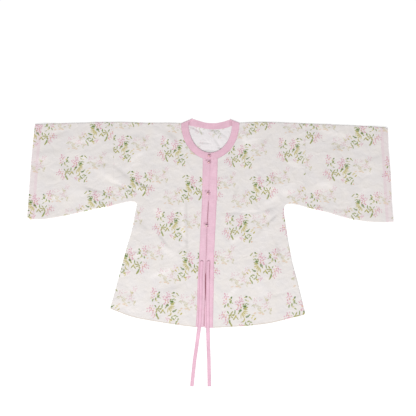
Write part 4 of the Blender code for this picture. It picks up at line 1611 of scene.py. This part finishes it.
    def collar_face(self, point: Point) -> float:
        """The height of the collar's outer face at a place."""
        return self.collar_top + self.collar_waves(np.array([point]))[0]

    def half_gap(self, y: float) -> float:
        """Half the width of the gap between the bands at a height, wider where a loop pulls."""
        pull = sum(bell(y - place.y, self.pull_reach) for place in PULLED_OPEN)
        return across(GAPE, y) + self.pull_width * pull

    def inner_layer(self, sheet: ClothPiece) -> None:
        """The band's inner layer, which reaches a little under the other band and shows pink in the gap.

        Args:
            sheet: the right band's cloth.
        """
        middle = [Point(across(FRONT_OPENING, y), y) for y in self.lap_ends]
        outline = [p.moved(x=-self.lap) for p in middle] + [p.moved(x=self.lap) for p in reversed(middle)]
        faces = sheet.layer(Run(outline))
        sheet.lift(faces, lambda places: self.lap_level - self.lap_fall * self.in_slit(places))

    def in_slit(self, places: np.ndarray) -> np.ndarray:
        """1 where the bands part below the ties' tops, and 0 elsewhere."""
        return soft_step(places[:, 1], self.slit[0], -12.0) * soft_step(places[:, 1], self.slit[1], 14.0)

    def dimples_and_painted_shade(self, points: np.ndarray) -> np.ndarray:
        """How far the bands sink, below zero, in dimples and along their edges and seams, which band_waves
        shapes and the material paints as shade, and the painted shade of the inner layer in the gap.

        Args:
            points: x, y and z of each point.

        Returns:
            The depth at each point.
        """
        x, y, z = points.T
        depth = np.zeros(len(points))
        # Dimples and lines along the opening and the seams: shape in band_waves, and painted shade in the
        # material
        for pull in self.pulls:
            for place in pull.places:
                depth -= pull.depth * bell(np.hypot((x - place.x) / pull.narrow, y - place.y), pull.reach)
        edge = np.maximum(np.abs(x - across(FRONT_OPENING, y)) - 0.5, 0.0)
        depth -= (0.1 + 0.16 * soft_step(y, self.loose_y, -14.0)) * bell(edge, 1.1)
        seam = np.minimum(*(np.abs(x - across(cut.band_seam, y)) for cut in (RIGHT, LEFT)))
        depth -= 0.2 * bell(seam, 1.3)
        # Painted shade on the inner layer where it shows in the gap: faint where the bands lie close, darker
        # below loose_y, darkest in the slit
        loose = soft_step(y, self.loose_y, -12.0)
        inner = 0.05 + loose * (0.5 + 0.4 * soft_step(y, 96.0, 12.0)) + 0.9 * self.in_slit(points)
        return depth - inner * (z < self.band_top - self.wall - 0.2)

    def band_waves(self, places: np.ndarray) -> np.ndarray:
        """Long low waves, and the hollows and dimples where each button pulls."""
        waves = 0.1 * np.sin(places[:, 1] / 23.0) + 0.06 * np.sin(places[:, 1] / 9.0 + places[:, 0] / 6.0)
        return waves + 0.3 * self.dimples_and_painted_shade(np.column_stack([places, np.full(len(places), self.band_top)]))

    def tie(self, name: str, route: tuple[Point, ...]) -> bpy.types.Object:
        """A flat tie, sewn on its band and free past the hem.

        Args:
            name: the solid's name.
            route: its middle line, from its top down.

        Returns:
            The piece.
        """
        bm = bmesh.new()
        painted_shading = bm.verts.layers.float.new("painted_shading")
        grid = bmesh.ops.create_grid(bm, x_segments=8, y_segments=170, size=1.0)
        on_band, on_table = self.tie_top - self.tie_wall / 2, self.tie_wall / 2 + self.tie_low
        for vert in grid["verts"]:
            side = vert.co.x
            down = 0.5 * (1.0 - vert.co.y) * (route[0].y - route[-1].y)
            y = route[0].y - down
            out = Vector((1.0, (across(route, y - 2.0) - across(route, y + 2.0)) / 4.0)).normalized()
            rounded = math.sqrt(max(0.0, 1.0 - max(0.0, 1.0 - down / self.tie_round) ** 2))
            half = side * self.tie_width / 2 * (0.3 + 0.7 * rounded)
            fall = soft_step(y, self.tie_hem_y, -self.tie_fall)
            arch = self.tie_arch * bell(down, 7.0) * (1.0 - 0.7 * side**2)
            wave = 0.1 * math.sin(y / 17.0) + 0.07 * math.sin(y / 6.5 + 1.3)
            high = on_band + arch + wave + self.tie_ridge * math.cos(2.6 * side)
            # Painted shade: darker lines along both long edges (stronger on the -X side), an arc at the top,
            # a wedge near the +X edge of the left tie's upper part, and the free ends a little darker
            rim = (0.72 if side < 0 else 0.45) * side**4
            vert[painted_shading] = -rim * (1.0 - 0.6 * fall) - 0.35 * bell(down - 1.0, 2.2) - 0.09 * fall
            if name == "tie_left":
                fold = soft_step(down, 0.0, 14.0) * soft_step(down, 80.0, -50.0)
                vert[painted_shading] -= 0.55 * fold * bell(side - 0.7, 0.3)
            vert.co = Vector((across(route, y) + out.x * half, y + out.y * half,
                              high * (1 - fall) + on_table * fall)) * MM
        bmesh.ops.recalc_face_normals(bm, faces=bm.faces)
        if next(iter(bm.faces)).normal.z < 0:
            bmesh.ops.reverse_faces(bm, faces=bm.faces)
        piece = smooth_object(f"{name}_ribbon", bm, TIE_PINK.material(f"slub_{name}"))
        give_wall(piece, self.tie_wall, rounding=0.2)
        return carried(piece, "pink_tie", name)


RIGHT_TIE = path(
    (-27.9, -26.1), (-28.5, -36), (-31, -80), (-31.6, -130), (-32.4, -180), (-34.2, -222.8),
    (-36.5, -249.2), (-39, -266), (-42, -288), (-44.6, -308), (-51.6, -354.8), (-56.4, -400),
    (-60.6, -441.4))
LEFT_TIE = path(
    (-5.2, -26.1), (-5.8, -36), (-7.2, -80), (-8.0, -130), (-8.2, -180), (-8.0, -222.8), (-7.8, -249.2),
    (-7.4, -266), (-6.8, -288), (-6.4, -308), (-4.5, -354.8), (-3.6, -400), (-2.8, -441.8))
BUTTON_PLACES = path((-4.6, 319.2), (-4.9, 297.4), (-7.8, 195), (-13.2, 88.4))


@dataclass
class Fastener:
    """A small pearl button and the corded loop that holds it."""

    number: int
    place: Point
    width: float = 6.4
    height: float = 4.4
    seat: float = 3.6
    cord: float = 1.1
    foot_reach: float = 12.0

    def button(self, pearl: bpy.types.Material) -> bpy.types.Object:
        """The button: a ball a little flattened.

        Args:
            pearl: its finish.

        Returns:
            The piece.
        """
        bm = bmesh.new()
        bmesh.ops.create_uvsphere(bm, u_segments=32, v_segments=20, radius=self.width / 2 * MM)
        bmesh.ops.scale(bm, vec=(1, 1, self.height / self.width), verts=bm.verts)
        middle = Vector((self.place.x, self.place.y, self.seat + self.height / 2)) * MM
        bmesh.ops.translate(bm, vec=middle, verts=bm.verts)
        piece = smooth_object(f"pearl_{self.number}", bm, pearl)
        return carried(piece, "pearl_button", f"button_{self.number}")

    def loop(self, thread: bpy.types.Material) -> bpy.types.Object:
        """The loop: two strands twisted together, round the button and back to the other band's edge.

        Args:
            thread: its finish.

        Returns:
            The piece.
        """
        bend = self.width / 2 + SEAM_GAP + self.cord / 2
        middle = Vector((*self.place, self.seat + self.cord / 2))
        turns = [math.radians(50 + 10 * step) for step in range(27)]
        line = [middle + Vector((self.foot_reach - bend, 0.45 * bend, 0)),
                *(middle + bend * Vector((math.cos(turn), math.sin(turn), 0)) for turn in turns),
                middle + Vector((self.foot_reach - bend, -0.45 * bend, 0))]
        bm = bmesh.new()
        rings = []
        for i, point in enumerate(line):
            way = (line[min(i + 1, len(line) - 1)] - line[max(i - 1, 0)]).normalized()
            side = way.cross(Vector((0, 0, 1))).normalized()
            turn = Matrix((side, way.cross(side), way)).transposed().to_4x4()
            ring = bmesh.ops.create_circle(bm, cap_ends=False, segments=8, radius=self.cord / 2 * MM)["verts"]
            squeeze = Matrix.Scale(1.0 - 0.1 * (i % 2), 4)
            bmesh.ops.transform(bm, matrix=Matrix.Translation(point * MM) @ turn @ squeeze, verts=ring)
            rings.append([edge for edge in bm.edges if edge.verts[0] in ring and edge.verts[1] in ring])
        for first, second in zip(rings, rings[1:]):
            bmesh.ops.bridge_loops(bm, edges=first + second)
        bmesh.ops.holes_fill(bm, edges=bm.edges, sides=8)
        bmesh.ops.recalc_face_normals(bm, faces=bm.faces)
        piece = smooth_object(f"corded_loop_{self.number}", bm, thread)
        return carried(piece, "loop_thread", f"loop_{self.number}")


@dataclass
class Stitching:
    """Rows of small stitches that lie on the cloth."""

    pitch: float = 3.2
    length: float = 2.3
    thickness: float = 0.32

    def rows(self, name: str, lines: list[list[Vector]], slot: str,
             thread: bpy.types.Material) -> bpy.types.Object:
        """Stitches along some lines, joined as one piece.

        Args:
            name: the piece's name.
            lines: each line's points, on the cloth's face.
            slot: the name of a material slot, passed on to carried.
            thread: the finish.

        Returns:
            The piece.
        """
        one = bmesh.new()
        bmesh.ops.create_uvsphere(one, u_segments=6, v_segments=4, radius=0.5)
        size = Matrix.Diagonal((self.length * MM, self.thickness * MM, self.thickness * MM, 1.0))
        bm = bmesh.new()
        for a, b in (pair for line in lines for pair in zip(line, line[1:])):
            run = b - a
            count = max(1, round(run.length / self.pitch))
            turn = run.to_track_quat("X", "Z").to_matrix().to_4x4()
            for number in range(count):
                middle = a + run * (number + 0.5) / count
                stitch = bpy.data.meshes.new("stitch")
                one.to_mesh(stitch)
                stitch.transform(Matrix.Translation(middle * MM) @ turn @ size)
                bm.from_mesh(stitch)
                bpy.data.meshes.remove(stitch)
        one.free()
        return carried(smooth_object(name, bm, thread), slot)


@dataclass
class Studio:
    """A white light table, soft light from all round and a large lamp beyond the hem, and the camera."""

    frame_width: float = 416 * 3.3
    view_centre: Point = Point(-7.4, 146.9)
    lens: float = 110.0
    sensor: float = 36.0
    table_size: float = 12.0
    table_gap: float = 0.3
    sky: float = 0.42
    glow: float = 0.66
    lamp_power: float = 385.0
    lamp_size: float = 3.2
    lamp_place: tuple[float, float, float] = (-1.1, -4.75, 4.4)
    lamp_aim: tuple[float, float, float] = (0.0, 0.1, 0.0)

    def floor(self) -> None:
        """The surface that the garment lies on, lit a little from below."""
        material = bpy.data.materials.new("white_acrylic")
        material.use_nodes = True
        feed(material.node_tree.nodes["Principled BSDF"], {
            "Base Color": (0.45, 0.45, 0.45, 1.0), "Roughness": 1.0, "Specular IOR Level": 0.0,
            "Emission Color": (1.0, 1.0, 1.0, 1.0), "Emission Strength": self.glow})
        bm = bmesh.new()
        bmesh.ops.create_grid(bm, x_segments=1, y_segments=1, size=self.table_size)
        bmesh.ops.translate(bm, vec=(0, 0, -self.table_gap * MM), verts=bm.verts)
        smooth_object("surface", bm, material)

    def light(self) -> None:
        """Light from a white sky and one large lamp."""
        world = bpy.data.worlds.new("sky")
        bpy.context.scene.world = world
        world.use_nodes = True
        feed(world.node_tree.nodes["Background"], {"Color": (1.0, 1.0, 1.0, 1.0), "Strength": self.sky})
        lamp = bpy.data.lights.new("key", "AREA")
        lamp.shape = "DISK"
        lamp.size = self.lamp_size
        lamp.energy = self.lamp_power
        key = bpy.data.objects.new("key", lamp)
        key.location = self.lamp_place
        key.rotation_euler = (Vector(self.lamp_aim) - key.location).to_track_quat("-Z", "Y").to_euler()
        bpy.context.scene.collection.objects.link(key)

    def camera(self) -> None:
        """A long lens straight above, framed as the photograph is."""
        data = bpy.data.cameras.new("camera")
        data.lens = self.lens
        data.sensor_width = self.sensor
        distance = self.lens / self.sensor * self.frame_width
        camera = bpy.data.objects.new("camera", data)
        camera.location = Vector((*self.view_centre, distance)) * MM
        bpy.context.scene.collection.objects.link(camera)
        bpy.context.scene.camera = camera
        bpy.context.scene.view_settings.view_transform = "Standard"


def on_face(line: list[Point], face: Callable[[Point], float]) -> list[Vector]:
    """A line's points at the height of the cloth's face."""
    return [Vector((*point, face(point))) for point in line]


def sew(shells: tuple[Shell, ...], trim: Trim) -> None:
    """The rows of stitches at the hem, cuffs, bands, collar and ties.

    Args:
        shells: the two halves of printed cloth.
        trim: the bands and ties.
    """
    white, pink = [], []
    for shell in shells:
        cut = shell.cut
        inside = -cut.sign
        hem = [p.moved(y=HEM_DEPTH) for p in eased(cut.hem)[2:-1]]
        cuff = [Point(across(cut.cuff, y) + inside * (FACING_DEPTH - 1.2), y)
                for y in np.arange(cut.cuff[-1].y + 12.0, cut.cuff[0].y - 12.0, 9.0)]
        white += [on_face(line, shell.face) for line in (hem, cuff)]
        heights = np.arange(-240.0, 304.0, 8.0)
        seam = [Point(across(cut.band_seam, y) + inside * TOPSTITCH, y) for y in heights]
        edge = [Point(across(FRONT_OPENING, y) - inside * (trim.half_gap(y) + 2.6), y) for y in heights]
        arc = [p for p in NECK_SEAM.grown(-TOPSTITCH).arc(cut.sign, cut.neck_point)[:-1] if abs(p.x) > 3.0]
        pink += [on_face(seam, trim.face), on_face(edge, trim.face), on_face(arc, trim.collar_face)]
    for route in (RIGHT_TIE, LEFT_TIE):
        for drop in (0.0, 7.0):
            bar = [route[1].moved(side * 3.6, -drop) for side in (-1, 1)]
            pink.append(on_face(bar, lambda point: trim.tie_top + 0.15))
    stitching = Stitching()
    stitching.rows("hem_and_cuff_stitches", white, "printed_cloth",
                   Thread(colour="#EDE6E1").material("white_thread"))
    stitching.rows("band_stitches", pink, "pink_band", Thread(colour="#E3B2C7").material("pink_thread"))


def main() -> None:
    """Loads the frame, makes the garment's pieces, and lights it."""
    logging.basicConfig(level=logging.INFO, format="%(message)s")
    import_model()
    studio = Studio()
    studio.camera()
    studio.floor()
    studio.light()
    sprigs = SprigPrint().node_group()
    shells = (
        Shell(RIGHT, sprigs,
              body_lay=GrainLay(Point(-128, 94.5), Point(190, -14), Point(13, 254), 0.05, 3e-4, 0.0),
              sleeve_lay=GrainLay(Point(-443, 281), Point(198, 12), Point(9, 238))),
        Shell(LEFT, sprigs,
              body_lay=GrainLay(Point(101, 86), Point(190, 11), Point(2, 253), 0.08, 4.3e-4, 2e-4),
              sleeve_lay=GrainLay(Point(435, 275), Point(196, -6), Point(-2, 238))),
    )
    for shell in shells:
        shell.body()
        shell.sleeve()
        shell.facing()
    trim = Trim()
    trim.collar()
    for cut in (RIGHT, LEFT):
        trim.band(cut)
    trim.tie("tie_right", RIGHT_TIE)
    trim.tie("tie_left", LEFT_TIE)
    # Painted shade: buttons 1 to 3 get a dimmer, pinker copy of the pearl, for the shade where their loops
    # half cover them; the fourth gets the pale one
    shaded_pearl = Pearl(base="#EFC9C4", swirl="#E3AFAE").material("shaded_pearl_plastic")
    pale = Pearl(base="#F6E8E2", swirl="#EFCFC9").material("pale_pearl_plastic")
    cord = Thread(colour="#E6B6CB").material("loop_cord")
    for number, place in enumerate(BUTTON_PLACES, start=1):
        fastener = Fastener(number, place)
        fastener.button(pale if number == len(BUTTON_PLACES) else shaded_pearl)
        fastener.loop(cord)
    sew(shells, trim)


if __name__ == "__main__":
    main()
